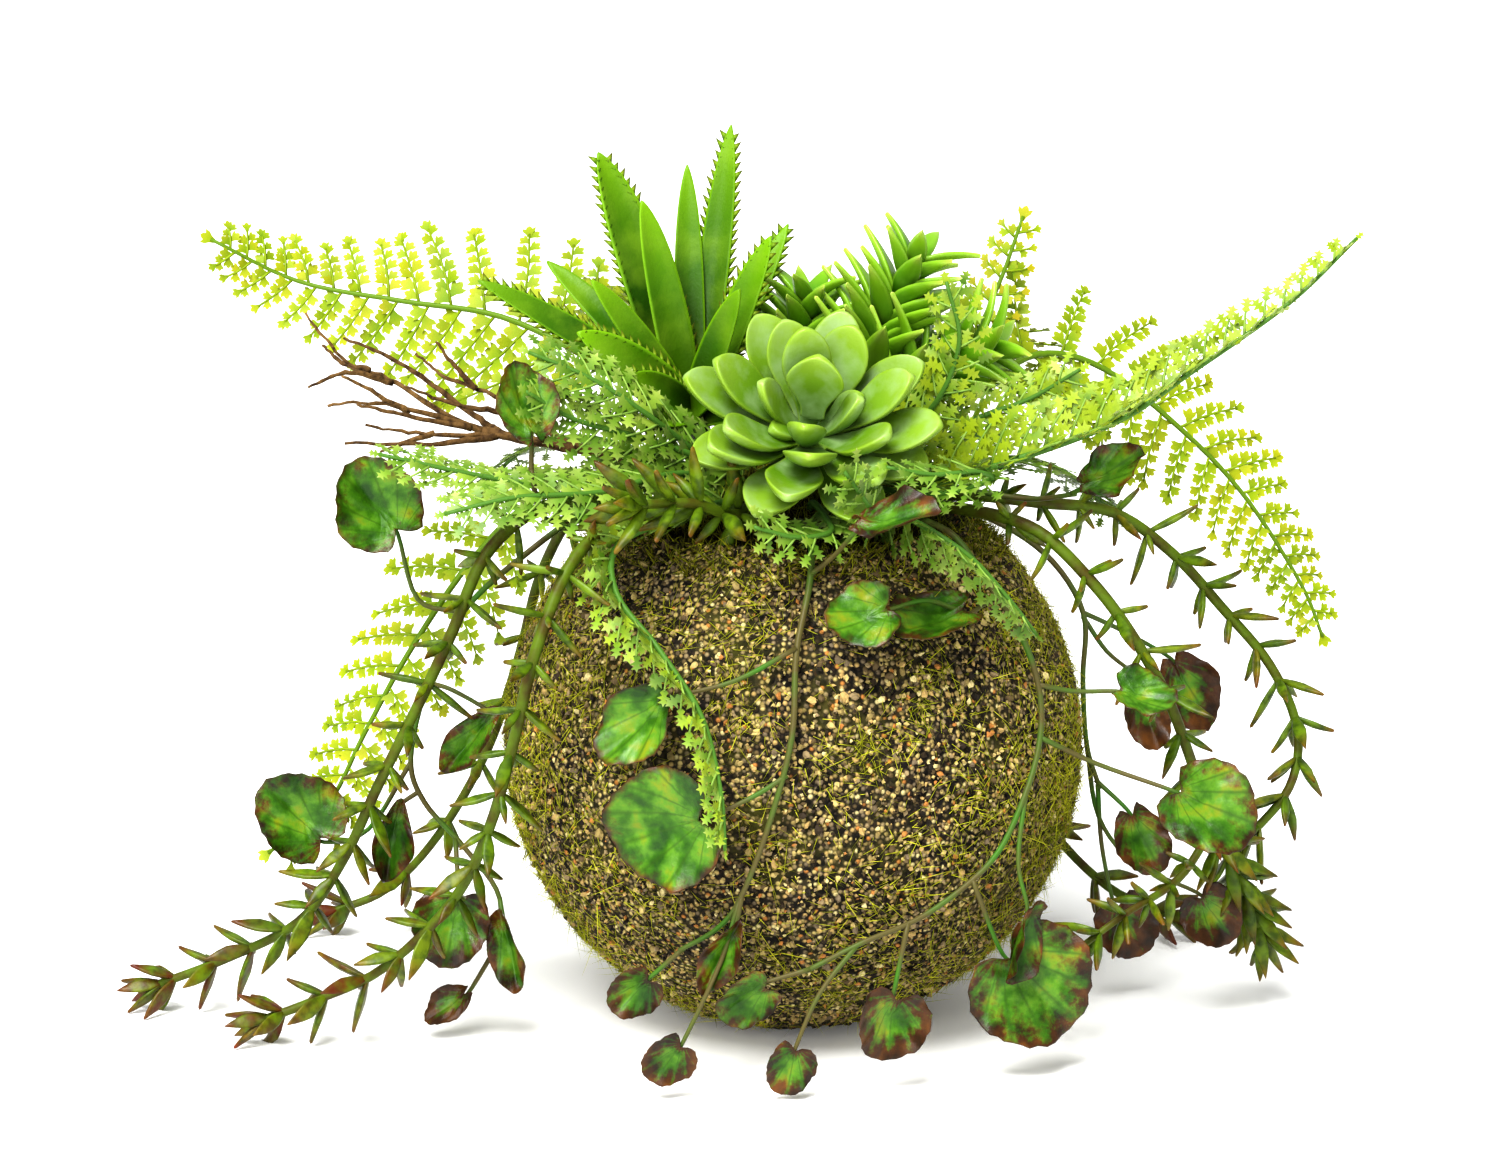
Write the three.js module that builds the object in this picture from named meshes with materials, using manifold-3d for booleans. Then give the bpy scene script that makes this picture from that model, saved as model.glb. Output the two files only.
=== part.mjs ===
// Kokedama: a moss-clad soil ball planted with ferns, succulents, sedum and round-leaved vines.
// Millimetres, +Z up. The origin is the middle of the flat spot that the ball rests on.
// The front of the plant is seen from -Y, with +X to the right.
import * as THREE from "three";
import { mergeVertices } from "three/addons/utils/BufferGeometryUtils.js";
import Module from "manifold-3d";

const wasm = await Module();
wasm.setup();

// Driving sizes of the ball
const BALL_RADIUS = 65;
const REST_RADIUS = 16;
const SKIN_THICKNESS = 7;
const MOUTH_RADIUS = 40;
const LIP_WIDTH = 4;
const SOIL_RISE = 15;
const GAP = 0.3;

// Driving sizes of what grows in it
const PEG_DEPTH = 12;
const PEG_RISE = 1.5;
const LOWEST_LEAF = 0.3;
const LEAF_THICKNESS = 0.7;
const RIB_HALF_WIDTH = 0.9;
const LEAFLET_PITCH = 7;
const FLAT_FOLD = -7;

// Stalk radii at the root and at the tip
const FROND_STALK = [1.1, 0.75];
const SEDUM_STEM = [1.4, 0.85];
const SEDUM_BRANCH = [1, 0.7];
const VINE_STEM = [0.85, 0.65];
const PETIOLE = [0.6, 0.5];
const ROSETTE_STALK = [2.4, 2.4];
const ALOE_STALK = [2.2, 2.4];
const FINGER_STALK = [1.5, 1.1];
const TWIG_TRUNK = [1.5, 1.2];
const TWIG = [0.9, 0.55];

// Fineness
const BALL_SEGMENTS = 22;
const BALL_STATIONS = 8;
const HOLE_SIDES = 5;
const THIN_SIDES = 3;
const THICK_SIDES = 5;
const WELD_DISTANCE = 1e-4;
const SLIVER_SIZE = 0.02;
const SEED = 20;

const CENTRE_Z = Math.sqrt(BALL_RADIUS ** 2 - REST_RADIUS ** 2);
const INNER_RADIUS = BALL_RADIUS - SKIN_THICKNESS;
const SOIL_RADIUS = INNER_RADIUS - GAP;
const LIP_RADIUS = MOUTH_RADIUS - LIP_WIDTH;
const SOIL_EDGE_RADIUS = LIP_RADIUS - GAP;
const SOIL_EDGE_Z = CENTRE_Z + Math.sqrt(SOIL_RADIUS ** 2 - SOIL_EDGE_RADIUS ** 2);
const BALL_CENTRE = new THREE.Vector3(0, 0, CENTRE_Z);

// Finishes
const MOSS = { color: 0x4a4426, roughness: 1 };
const SOIL = { color: 0x2e2419, roughness: 1 };
const YELLOW_FERN = { color: 0xa5cc1e, roughness: 0.5 };
const PALE_FERN = { color: 0x8cc95a, roughness: 0.5 };
const ROSETTE_GREEN = { color: 0x6fb43a, roughness: 0.4 };
const ALOE_GREEN = { color: 0x3d9a2c, roughness: 0.45 };
const FINGER_GREEN = { color: 0x3fa238, roughness: 0.35 };
const SEDUM_GREEN = { color: 0x4f7d34, roughness: 0.5 };
const VINE_GREEN = { color: 0x4b7a33, roughness: 0.5 };
const TWIG_BROWN = { color: 0x6b4a34, roughness: 0.8 };

const degrees = THREE.MathUtils.degToRad;
const vector = (point) => new THREE.Vector3(...point);

let randomState = SEED;
function random(low, high) {
  randomState = (randomState * 1664525 + 1013904223) % 4294967296;
  return low + ((high - low) * randomState) / 4294967296;
}

// Solids

function solidOf(geometry) {
  const bare = geometry.clone();
  bare.deleteAttribute("normal");
  bare.deleteAttribute("uv");
  const merged = mergeVertices(bare, WELD_DISTANCE);
  const corners = [...merged.index.array];
  const kept = [];
  for (let i = 0; i < corners.length; i += 3) {
    const [a, b, c] = corners.slice(i, i + 3);
    if (a !== b && b !== c && c !== a) kept.push(a, b, c);
  }
  const vertProperties = merged.attributes.position.array;
  const triVerts = new Uint32Array(kept);
  return new wasm.Manifold(new wasm.Mesh({ numProp: 3, vertProperties, triVerts }));
}

// Joins solids into one body without slivers. A sealed hollow is filled and a loose scrap is
// dropped.
function fuse(solids) {
  const whole = solids.reduce((sum, next) => sum.add(next));
  const joined = whole.asOriginal().simplify(SLIVER_SIZE);
  const bodies = joined.decompose();
  return bodies.reduce((largest, next) => (next.volume() > largest.volume() ? next : largest));
}

function meshOf(name, solid, finish) {
  const { numProp, vertProperties, triVerts } = solid.getMesh();
  const geometry = new THREE.BufferGeometry();
  geometry.setAttribute("position", new THREE.BufferAttribute(vertProperties, numProp));
  geometry.setIndex(new THREE.BufferAttribute(triVerts, 1));
  geometry.computeVertexNormals();
  const mesh = new THREE.Mesh(geometry, new THREE.MeshStandardMaterial(finish));
  mesh.name = name;
  return mesh;
}

// Stalks

// A curve through hand-chosen points, read so that a section stands at each of them.
class Stalk extends THREE.CatmullRomCurve3 {
  constructor(points) {
    super(points.map(vector), false, "catmullrom", 0.5);
  }

  getUtoTmapping(u) {
    return u;
  }
}

// A tapering tube with a section at each point of its route.
function stalkTube(points, [rootRadius, tipRadius], sides = THIN_SIDES) {
  const stalk = new Stalk(points);
  const steps = points.length - 1;
  const section = new THREE.Shape();
  for (let i = 0; i < sides; i++) {
    const angle = (i / sides) * 2 * Math.PI;
    if (i === 0) section.moveTo(Math.cos(angle), Math.sin(angle));
    else section.lineTo(Math.cos(angle), Math.sin(angle));
  }
  const geometry = new THREE.ExtrudeGeometry(section, {
    extrudePath: stalk,
    steps,
    bevelEnabled: false,
  });
  const centres = points.map(vector);
  const position = geometry.attributes.position;
  const corner = new THREE.Vector3();
  for (let i = 0; i < position.count; i++) {
    corner.fromBufferAttribute(position, i);
    const distances = centres.map((centre) => centre.distanceTo(corner));
    const nearest = distances.indexOf(Math.min(...distances));
    const radius = THREE.MathUtils.lerp(rootRadius, tipRadius, nearest / steps);
    corner.sub(centres[nearest]).multiplyScalar(radius).add(centres[nearest]);
    position.setXYZ(i, corner.x, corner.y, corner.z);
  }
  return solidOf(geometry);
}

function soilHeight(radius) {
  return SOIL_EDGE_Z + SOIL_RISE * (1 - (radius / SOIL_EDGE_RADIUS) ** 4);
}

// The straight foot of a stalk in its hole, at a ring radius and an azimuth from +X.
function footPoints([ring, azimuth]) {
  const x = ring * Math.cos(degrees(azimuth));
  const y = ring * Math.sin(degrees(azimuth));
  const z = soilHeight(ring);
  return [
    [x, y, z - PEG_DEPTH],
    [x, y, z + PEG_RISE],
  ];
}

// The place and direction at a share of the length of a route's straight stretches.
function placeOn(points, share) {
  const path = points.map(vector);
  const lengths = path.slice(1).map((point, i) => point.distanceTo(path[i]));
  let left = share * lengths.reduce((sum, length) => sum + length, 0);
  let i = 0;
  while (i < lengths.length - 1 && left > lengths[i]) {
    left -= lengths[i];
    i += 1;
  }
  const along = path[i + 1].clone().sub(path[i]).normalize();
  return { point: path[i].clone().addScaledVector(along, left), along };
}

function lengthOf(points) {
  const path = points.map(vector);
  return path.slice(1).reduce((sum, point, i) => sum + point.distanceTo(path[i]), 0);
}

// The points of a route up to a share of its length, with a last one at that share.
function startOf(points, share) {
  const limit = share * lengthOf(points);
  const kept = points.filter((_, i) => i < 2 || lengthOf(points.slice(0, i + 1)) < limit);
  return [...kept, placeOn(points, share).point.toArray()];
}

// The part of a direction that stands square on an axis, at unit length.
function squareTo(axis, direction) {
  return direction.clone().addScaledVector(axis, -direction.dot(axis)).normalize();
}

// Leaves

// A closed blade from its root to its tip, on an arc that bends away from its face.
// Each row is [share of the length, half width, half thickness, cup, forward sweep].
// With 3 sides it has two edges, a ridge and a flat back. With more it is a lens.
function blade({ root, tip, face, bend = 0, rows, sides = 3 }, grow = 0) {
  const chord = tip.clone().sub(root);
  const straight = chord.length() + grow;
  chord.normalize();
  const upright = squareTo(chord, face);
  const half = bend / 2;
  const start = chord.clone().multiplyScalar(Math.cos(half));
  start.addScaledVector(upright, Math.sin(half));
  const startFace = upright.clone().multiplyScalar(Math.cos(half));
  startFace.addScaledVector(chord, -Math.sin(half));
  const arcRadius = straight / (2 * Math.sin(half) || 1);

  function cornerAt(row, side) {
    const [share, width, thickness, cup = 0, sweep = 0] = rows[row];
    const angle = bend * share;
    const along = start.clone().multiplyScalar(Math.cos(angle));
    along.addScaledVector(startFace, -Math.sin(angle));
    const up = startFace.clone().multiplyScalar(Math.cos(angle));
    up.addScaledVector(start, Math.sin(angle));
    const across = along.clone().cross(up);
    const point = root.clone();
    if (bend === 0) {
      point.addScaledVector(start, straight * share);
    } else {
      point.addScaledVector(start, arcRadius * Math.sin(angle));
      point.addScaledVector(startFace, -arcRadius * (1 - Math.cos(angle)));
    }
    if (width === 0) return point;
    const turn = sides === 3 ? (side * Math.PI) / 2 : (side * 2 * Math.PI) / sides;
    const wide = Math.cos(turn);
    const high = Math.sin(turn);
    const isEdge = sides === 3 && side !== 1;
    const lift = (thickness + grow) * high + cup * width * wide * wide - (isEdge ? grow : 0);
    point.addScaledVector(across, (width + grow) * wide);
    point.addScaledVector(up, lift);
    return point.addScaledVector(along, sweep * width * Math.abs(wide));
  }

  const geometry = new THREE.SphereGeometry(1, sides, rows.length - 1);
  const position = geometry.attributes.position;
  for (let i = 0; i < position.count; i++) {
    const corner = cornerAt(Math.floor(i / (sides + 1)), (i % (sides + 1)) % sides);
    position.setXYZ(i, corner.x, corner.y, corner.z);
  }
  return solidOf(geometry);
}

// Rows of a pinna whose leaflets are cut nearly to its rib.
function pinnaRows(teeth, halfWidth) {
  const rows = [[0, 0, 0]];
  const count = 2 * teeth;
  for (let i = 1; i <= count; i++) {
    const share = i / (count + 0.6);
    const isLeaflet = i % 2 === 0;
    const taper = 1 - 0.6 * share;
    const width = (isLeaflet ? halfWidth : 0.38 * halfWidth) * taper;
    const sweep = isLeaflet ? 0.45 : 0;
    rows.push([share, width, 0.95 - 0.35 * share, -0.12, sweep]);
  }
  rows.push([1, 0, 0]);
  return rows;
}

// Rows of a blade with saw teeth down both edges.
function toothedRows(teeth, halfWidth, thickness) {
  const rows = [[0, 0, 0]];
  const count = 2 * teeth;
  for (let i = 1; i <= count; i++) {
    const share = i / (count + 1);
    const body = Math.min(1, 0.75 + share) * Math.min(1, 1.9 * (1.03 - share));
    const isTooth = i % 2 === 1;
    const width = halfWidth * body * (isTooth ? 1 : 0.8);
    rows.push([share, width, thickness * Math.max(body, 0.4), -0.15, isTooth ? 0.25 : 0]);
  }
  rows.push([1, 0, 0]);
  return rows;
}

const plainRows = (halfWidth, thickness) => [
  [0, 0, 0],
  [0.15, 0.8 * halfWidth, thickness, -0.15],
  [0.5, halfWidth, thickness, -0.15],
  [0.8, 0.72 * halfWidth, 0.6 * thickness, -0.1],
  [1, 0, 0],
];

const fingerRows = (halfWidth, thickness) => [
  [0, 0, 0],
  [0.45, halfWidth, thickness, -0.1],
  [0.82, 0.8 * halfWidth, 0.8 * thickness, -0.1],
  [1, 0, 0],
];

const petalRows = (halfWidth) => [
  [0, 0, 0],
  [0.22, 0.4 * halfWidth, 1.4, 0.1],
  [0.62, 0.95 * halfWidth, 1.3, 0.22],
  [0.87, 0.8 * halfWidth, 0.9, 0.24],
  [1, 0, 0],
];

const sedumRows = (halfWidth) => [
  [0, 0, 0],
  [0.45, halfWidth, 0.9],
  [1, 0, 0],
];

// A kidney-shaped leaf with a crenate rim. Both faces are the same fan of triangles.
function kidneyLeaf({ root, tip, face, wide }, grow = 0) {
  const rimSteps = 8;
  const along = tip.clone().sub(root);
  const radius = 0.58 * along.length();
  along.normalize();
  const up = squareTo(along, face);
  const across = along.clone().cross(up);
  const centre = tip.clone().addScaledVector(along, -radius);
  const thickness = LEAF_THICKNESS + 2 * grow;
  const geometry = new THREE.CylinderGeometry(1, 1, 1, rimSteps, 1);
  const position = geometry.attributes.position;
  for (let i = 0; i < position.count; i++) {
    const [x, y, z] = [position.getX(i), position.getY(i), position.getZ(i)];
    const spoke = Math.round((Math.atan2(z, x) / (2 * Math.PI)) * rimSteps);
    const isRim = Math.hypot(x, z) > 0.5;
    const isNotch = isRim && Math.abs(spoke) === rimSteps / 2;
    const crenate = spoke % 2 === 0 ? 1 : 0.94;
    const reach = (isNotch ? 0.5 : crenate) * radius + grow;
    const wave = spoke % 2 === 0 ? 0.05 : -0.03;
    const lift = y * thickness + (isRim && !isNotch ? (0.14 + wave) * radius : 0);
    const corner = centre.clone().addScaledVector(along, x * reach);
    corner.addScaledVector(across, z * wide * reach).addScaledVector(up, lift);
    position.setXYZ(i, corner.x, corner.y, corner.z);
  }
  return solidOf(geometry);
}

// Keeping nodes clear of each other

const placed = [];

function place(node, solid) {
  placed.push({ node, solid, box: solid.boundingBox() });
}

function boxesMeet(a, b) {
  return [0, 1, 2].every((k) => a.min[k] < b.max[k] && b.min[k] < a.max[k]);
}

function isClear(node, trial) {
  const box = trial.boundingBox();
  if (box.min[2] < LOWEST_LEAF) return false;
  const near = placed.filter((other) => other.node !== node && boxesMeet(box, other.box));
  return near.every((other) => trial.intersect(other.solid).isEmpty());
}

const TURNS = [0, 15, -15, 30, -30, 50, -50, 75, -75].map(degrees);
const SHARES = [1, 0.8, 0.62, 0.48];
const STUB_SHARE = 0.15;

// Turns a leaf about its stalk, and then shortens it, until it is clear of every other node.
function roomFor(node, leaf) {
  const make = leaf.make ?? blade;
  for (const share of SHARES) {
    for (const turn of TURNS) {
      const tip = leaf.tip.clone().sub(leaf.root).multiplyScalar(share);
      tip.applyAxisAngle(leaf.axis, turn).add(leaf.root);
      const face = leaf.face.clone().applyAxisAngle(leaf.axis, turn);
      const trial = { ...leaf, tip, face };
      if (isClear(node, make(trial, GAP))) return trial;
    }
  }
  return null;
}

// Grows a plant's leaves. A leaf that finds no room is left out, or is a stub on a cut frond.
function leafOut({ name, leaves, joinTips }) {
  if (joinTips) {
    const stub = ({ root, tip }) => root.clone().lerp(tip, STUB_SHARE);
    place(name, joinTips(leaves.map((leaf) => (roomFor(name, leaf) ?? { tip: stub(leaf) }).tip)));
    return;
  }
  for (const leaf of leaves) {
    const found = roomFor(name, leaf);
    if (found) place(name, (leaf.make ?? blade)(found));
  }
}

// Plants. Each gives its foot, its stalks, and the leaves that grow on them.

// The pinnae shorten to the tip, and a little to the root.
const pinnaLength = (long, short, step) =>
  THREE.MathUtils.lerp(long, short, step) * Math.min(1, 0.72 + 2 * step);

// Where a pinna points: ahead and to its side, and raised to the frond's face by the fold.
function pinnaDirection({ along, up, side, spread, fold }) {
  const across = along.clone().cross(up).multiplyScalar(side * Math.cos(degrees(fold)));
  across.addScaledVector(up, Math.sin(degrees(fold))).multiplyScalar(Math.sin(spread));
  return across.addScaledVector(along, Math.cos(spread));
}

function frond({ name, finish, foot, route, face, first, pairs, long, short, teeth, spread }) {
  const points = [...footPoints(foot), ...route];
  const leaves = [];
  for (let i = 0; i < pairs; i++) {
    const step = i / pairs;
    const { point, along } = placeOn(points, first + (0.99 - first) * step);
    const up = squareTo(along, vector(face));
    const length = pinnaLength(long, short, step);
    for (const side of [-1, 1]) {
      const out = pinnaDirection({ along, up, side, spread, fold: 0 });
      const tip = point.clone().addScaledVector(out, length * random(0.93, 1.07));
      const cuts = THREE.MathUtils.clamp(Math.round(length / LEAFLET_PITCH), 1, teeth);
      const rows = pinnaRows(cuts, 0.32 * short + 0.062 * length);
      leaves.push({ root: point, tip, face: up, axis: along, bend: degrees(14), rows });
    }
  }
  const end = placeOn(points, 1);
  const up = squareTo(end.along, vector(face));
  const root = end.point.clone().addScaledVector(end.along, -1.5);
  const tip = end.point.clone().addScaledVector(end.along, short);
  leaves.push({ root, tip, face: up, axis: up, rows: pinnaRows(1, 0.3 * short) });
  const stalks = [stalkTube(points, FROND_STALK)];
  return { name, finish, foot, radius: FROND_STALK[0], stalks, leaves };
}

// A frond cut to its rib: one arched blade whose outline holds every leaflet.
// The sections are lenses of four corners: an edge, the ridge, the other edge and the keel.
function cutFrond(spec) {
  const { name, finish, foot, route, face, fold = FLAT_FOLD, first, pairs, long, short, spread } = spec;
  const points = [...footPoints(foot), ...route];
  const faceVector = vector(face);
  const leaves = [];
  const stations = [];
  for (let i = 0; i < pairs; i++) {
    const step = i / pairs;
    const pitch = (0.98 - first) / pairs;
    const notch = placeOn(points, first + pitch * i);
    const spine = placeOn(points, first + pitch * (i + 0.45));
    const up = squareTo(spine.along, faceVector);
    const length = pinnaLength(long, short, step);
    const halfPitch = 0.5 * notch.point.distanceTo(placeOn(points, first + pitch * (i + 1)).point);
    for (const side of [1, -1]) {
      const out = pinnaDirection({ along: spine.along, up, side, spread, fold });
      const tip = spine.point.clone().addScaledVector(out, length * random(0.92, 1.08));
      const rows = [
        [0, 0, 0],
        [0.12, halfPitch, 0.9],
        [0.7, 0.4 * halfPitch, 0.6],
        [1, 0, 0],
      ];
      leaves.push({ root: spine.point, tip, face: up, axis: spine.along, rows });
    }
    stations.push({ notch, spine });
  }
  const end = placeOn(points, 1);

  function joinTips(tips) {
    const rings = [];
    const start = stations[0].notch;
    rings.push(Array(4).fill(start.point.clone().addScaledVector(start.along, -2)));
    stations.forEach(({ notch, spine }, i) => {
      const up = squareTo(spine.along, faceVector);
      const sideways = spine.along.clone().cross(up);
      sideways.multiplyScalar(RIB_HALF_WIDTH * Math.cos(degrees(fold)));
      const raised = up.clone().multiplyScalar(RIB_HALF_WIDTH * Math.sin(degrees(fold)));
      const ridge = up.clone().multiplyScalar(RIB_HALF_WIDTH);
      const keel = up.clone().multiplyScalar(-0.55 * RIB_HALF_WIDTH);
      const about = ({ point }, right, left) => [
        right ?? point.clone().add(raised).add(sideways),
        point.clone().add(ridge),
        left ?? point.clone().add(raised).sub(sideways),
        point.clone().add(keel),
      ];
      rings.push(about(notch));
      rings.push(about(spine, tips[2 * i], tips[2 * i + 1]));
    });
    rings.push(Array(4).fill(end.point.clone().addScaledVector(end.along, short)));
    const geometry = new THREE.SphereGeometry(1, 4, rings.length - 1);
    const position = geometry.attributes.position;
    for (let i = 0; i < position.count; i++) {
      const corner = rings[Math.floor(i / 5)][(i % 5) % 4];
      position.setXYZ(i, corner.x, corner.y, corner.z);
    }
    return solidOf(geometry);
  }

  const stalks = [stalkTube(startOf(points, first + 0.02), FROND_STALK)];
  return { name, finish, foot, radius: FROND_STALK[0], stalks, leaves, joinTips };
}

function sedum({ name, foot, route, branch, whorls, first, leafLength, endCluster = 0 }) {
  const points = [...footPoints(foot), ...route];
  const stalks = [stalkTube(points, SEDUM_STEM)];
  const leaves = [];
  function addWhorl(path, share, count, turn, length, slope) {
    const { point, along } = placeOn(path, share);
    const square = squareTo(along, vector([0.3, 0.5, 1]));
    for (let i = 0; i < count; i++) {
      const out = square.clone().applyAxisAngle(along, turn + (i / count) * 2 * Math.PI);
      const tip = point.clone().addScaledVector(along, length * Math.cos(slope));
      tip.addScaledVector(out, length * Math.sin(slope));
      const rows = sedumRows(0.15 * length);
      leaves.push({ root: point, tip, face: out, axis: along, bend: degrees(-12), rows });
    }
  }
  function dress(path, from, count) {
    for (let i = 0; i < count; i++) {
      const share = from + (0.97 - from) * (i / (count - 1));
      const slope = degrees(random(42, 58));
      addWhorl(path, share, 2, i * 1.4, leafLength * random(0.85, 1.1), slope);
    }
  }
  dress(points, first, whorls);
  addWhorl(points, 0.985, 2, 0.5, leafLength, degrees(20));
  for (let i = 0; i < endCluster; i++) {
    addWhorl(points, 0.8 + 0.05 * i, 3, 0.8 * i + 0.4, 1.15 * leafLength, degrees(40));
  }
  if (branch) {
    stalks.push(stalkTube(branch, SEDUM_BRANCH));
    dress(branch, 0.2, 5);
  }
  return { name, finish: SEDUM_GREEN, foot, radius: SEDUM_STEM[0], stalks, leaves };
}

// A leaf on a vine: where its petiole leaves the stem, the points that it passes, its tip, and
// its width as a share of a round leaf's.
function vine({ name, foot, route, petioles }) {
  const points = [...footPoints(foot), ...route];
  const stalks = [stalkTube(points, VINE_STEM)];
  const leaves = [];
  for (const { from, via, tip, face, wide = 1 } of petioles) {
    const root = vector(via.at(-1));
    const end = vector(tip);
    const inLeaf = root.clone().lerp(end, 0.24);
    stalks.push(stalkTube([from, ...via, inLeaf.toArray()], PETIOLE));
    const outward = face ? vector(face) : end.clone().sub(BALL_CENTRE);
    const axis = end.clone().sub(root).normalize();
    leaves.push({ make: kidneyLeaf, root, tip: end, face: outward, axis, wide });
  }
  return { name, finish: VINE_GREEN, foot, radius: VINE_STEM[0], stalks, leaves };
}

function rosette() {
  const name = "rosette";
  const foot = [13, 285];
  const heart = vector([3.4, -28, 137]);
  const axis = vector([0.03, -0.66, 0.75]).normalize();
  const points = [...footPoints(foot), [3.4, -20, 129], heart.toArray()];
  const core = new THREE.SphereGeometry(6.5, 7, 5);
  core.translate(heart.x, heart.y, heart.z);
  const layers = [
    { count: 8, lean: 18, length: 31, halfWidth: 7.4, turn: 10 },
    { count: 6, lean: 36, length: 27, halfWidth: 7, turn: 35 },
    { count: 4, lean: 56, length: 21, halfWidth: 5.8, turn: 5 },
    { count: 2, lean: 80, length: 19, halfWidth: 6.4, turn: 90 },
  ];
  const right = squareTo(axis, vector([1, 0, 0]));
  const leaves = [];
  for (const { count, lean, length, halfWidth, turn } of layers) {
    for (let i = 0; i < count; i++) {
      const azimuth = degrees(turn) + (i / count) * 2 * Math.PI;
      const out = right.clone().applyAxisAngle(axis, azimuth);
      const tip = heart.clone().addScaledVector(out, length * Math.cos(degrees(lean)));
      tip.addScaledVector(axis, length * Math.sin(degrees(lean)));
      const root = heart.clone().addScaledVector(out, 1.5);
      const rows = petalRows(halfWidth);
      leaves.push({ root, tip, face: axis, axis: out, bend: degrees(-22), rows, sides: 4 });
    }
  }
  const stalks = [stalkTube(points, ROSETTE_STALK, THICK_SIDES), solidOf(core)];
  return { name, finish: ROSETTE_GREEN, foot, radius: ROSETTE_STALK[0], stalks, leaves };
}

function aloe() {
  const name = "aloe";
  const foot = [18, 175];
  const heart = vector([-23, 2, 138]);
  const points = [...footPoints(foot), [-21.5, 2, 130], heart.toArray()];
  // Each leaf is its tip, half width, saw teeth on each edge and bend in degrees.
  const tips = [
    [[-44, 10, 196], 5.8, 5, 6],
    [[-34, 0, 186], 4.6, 0, 4],
    [[-24, 14, 193], 3.6, 0, -6],
    [[-14, 14, 202], 4.4, 5, -14],
    [[-5, 1, 178], 4.8, 4, -10],
    [[-1, 20, 179], 3.8, 4, -10],
    [[-12, -8, 167], 3.8, 0, 8],
    [[-70, -10, 169], 3.9, 4, 26],
    [[-56, 14, 171], 3.6, 0, 18],
    [[-45, -8, 169], 3.6, 0, 10],
    [[-48, -14, 158], 5.8, 4, 24],
    [[-38, 32, 178], 4.6, 4, 12],
    [[-20, 34, 172], 4.2, 0, 14],
    [[-56, 28, 158], 4.2, 4, 22],
  ];
  const leaves = tips.map(([point, halfWidth, teeth, curl]) => {
    const tip = vector(point);
    const out = tip.clone().sub(heart).setZ(0).normalize();
    const root = heart.clone().addScaledVector(out, 1.2);
    const back = vector([0.4 * out.x, tip.y > 25 ? -1 : 1, -0.5]);
    const rows = teeth ? toothedRows(teeth, halfWidth, 1.6) : plainRows(halfWidth, 1.6);
    const axis = tip.clone().sub(root).normalize();
    return { root, tip, face: back, axis, bend: degrees(-curl), rows };
  });
  const core = new THREE.SphereGeometry(5, 6, 4);
  core.translate(heart.x, heart.y, heart.z);
  const stalks = [stalkTube(points, ALOE_STALK, THICK_SIDES), solidOf(core)];
  return { name, finish: ALOE_GREEN, foot, radius: ALOE_STALK[0], stalks, leaves };
}

// An upright stem of fleshy finger leaves in whorls of three.
function fingerStem({ name, foot, route, whorls, first }) {
  const points = [...footPoints(foot), ...route];
  const leaves = [];
  for (let i = 0; i < whorls; i++) {
    const step = i / (whorls - 1);
    const { point, along } = placeOn(points, first + (0.985 - first) * step);
    const square = squareTo(along, vector([1, 0.2, 0.1]));
    const slope = degrees(THREE.MathUtils.lerp(62, 36, step));
    const length = THREE.MathUtils.lerp(22, 12, step);
    for (let k = 0; k < 3; k++) {
      const out = square.clone().applyAxisAngle(along, degrees(120 * k + 62 * i));
      const tip = point.clone().addScaledVector(along, length * Math.cos(slope));
      tip.addScaledVector(out, length * Math.sin(slope));
      const rows = fingerRows(2.3, 1.7);
      leaves.push({ root: point, tip, face: along, axis: along, bend: degrees(26), rows });
    }
  }
  const stalks = [stalkTube(points, FINGER_STALK, THICK_SIDES)];
  return { name, finish: FINGER_GREEN, foot, radius: FINGER_STALK[0], stalks, leaves };
}

function twigBunch() {
  const foot = [24, 183];
  const trunk = [...footPoints(foot), [-38, -1, 128], [-56, -3, 132], [-70, -1, 134]];
  const branches = [
    [[-66, -1, 134], [-75, 0, 136], [-91, 0, 146], [-100, -2, 150], [-109, -4, 161]],
    [[-90, 0, 145], [-100, -5, 148], [-108, -8, 145]],
    [[-66, -1, 134], [-72, 4, 137], [-88, 8, 148], [-102, 10, 154]],
    [[-68, -1, 134], [-91, -6, 141], [-104, -8, 141]],
    [[-86, -5, 139], [-95, -9, 145], [-100, -12, 148]],
    [[-50, -2, 131], [-66, 8, 140], [-79, 12, 145], [-86, 14, 150]],
    [[-52, -3, 131], [-66, -8, 134], [-84, -10, 135], [-95, -12, 137]],
    [[-66, -8, 134], [-80, -13, 133], [-99, -18, 134]],
  ];
  const stalks = [stalkTube(trunk, TWIG_TRUNK)];
  branches.forEach((branch) => stalks.push(stalkTube(branch, TWIG)));
  const radius = TWIG_TRUNK[0];
  return { name: "twig_bunch", finish: TWIG_BROWN, foot, radius, stalks, leaves: [] };
}

const WIDE = degrees(68);
const MEDIUM = degrees(56);

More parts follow.
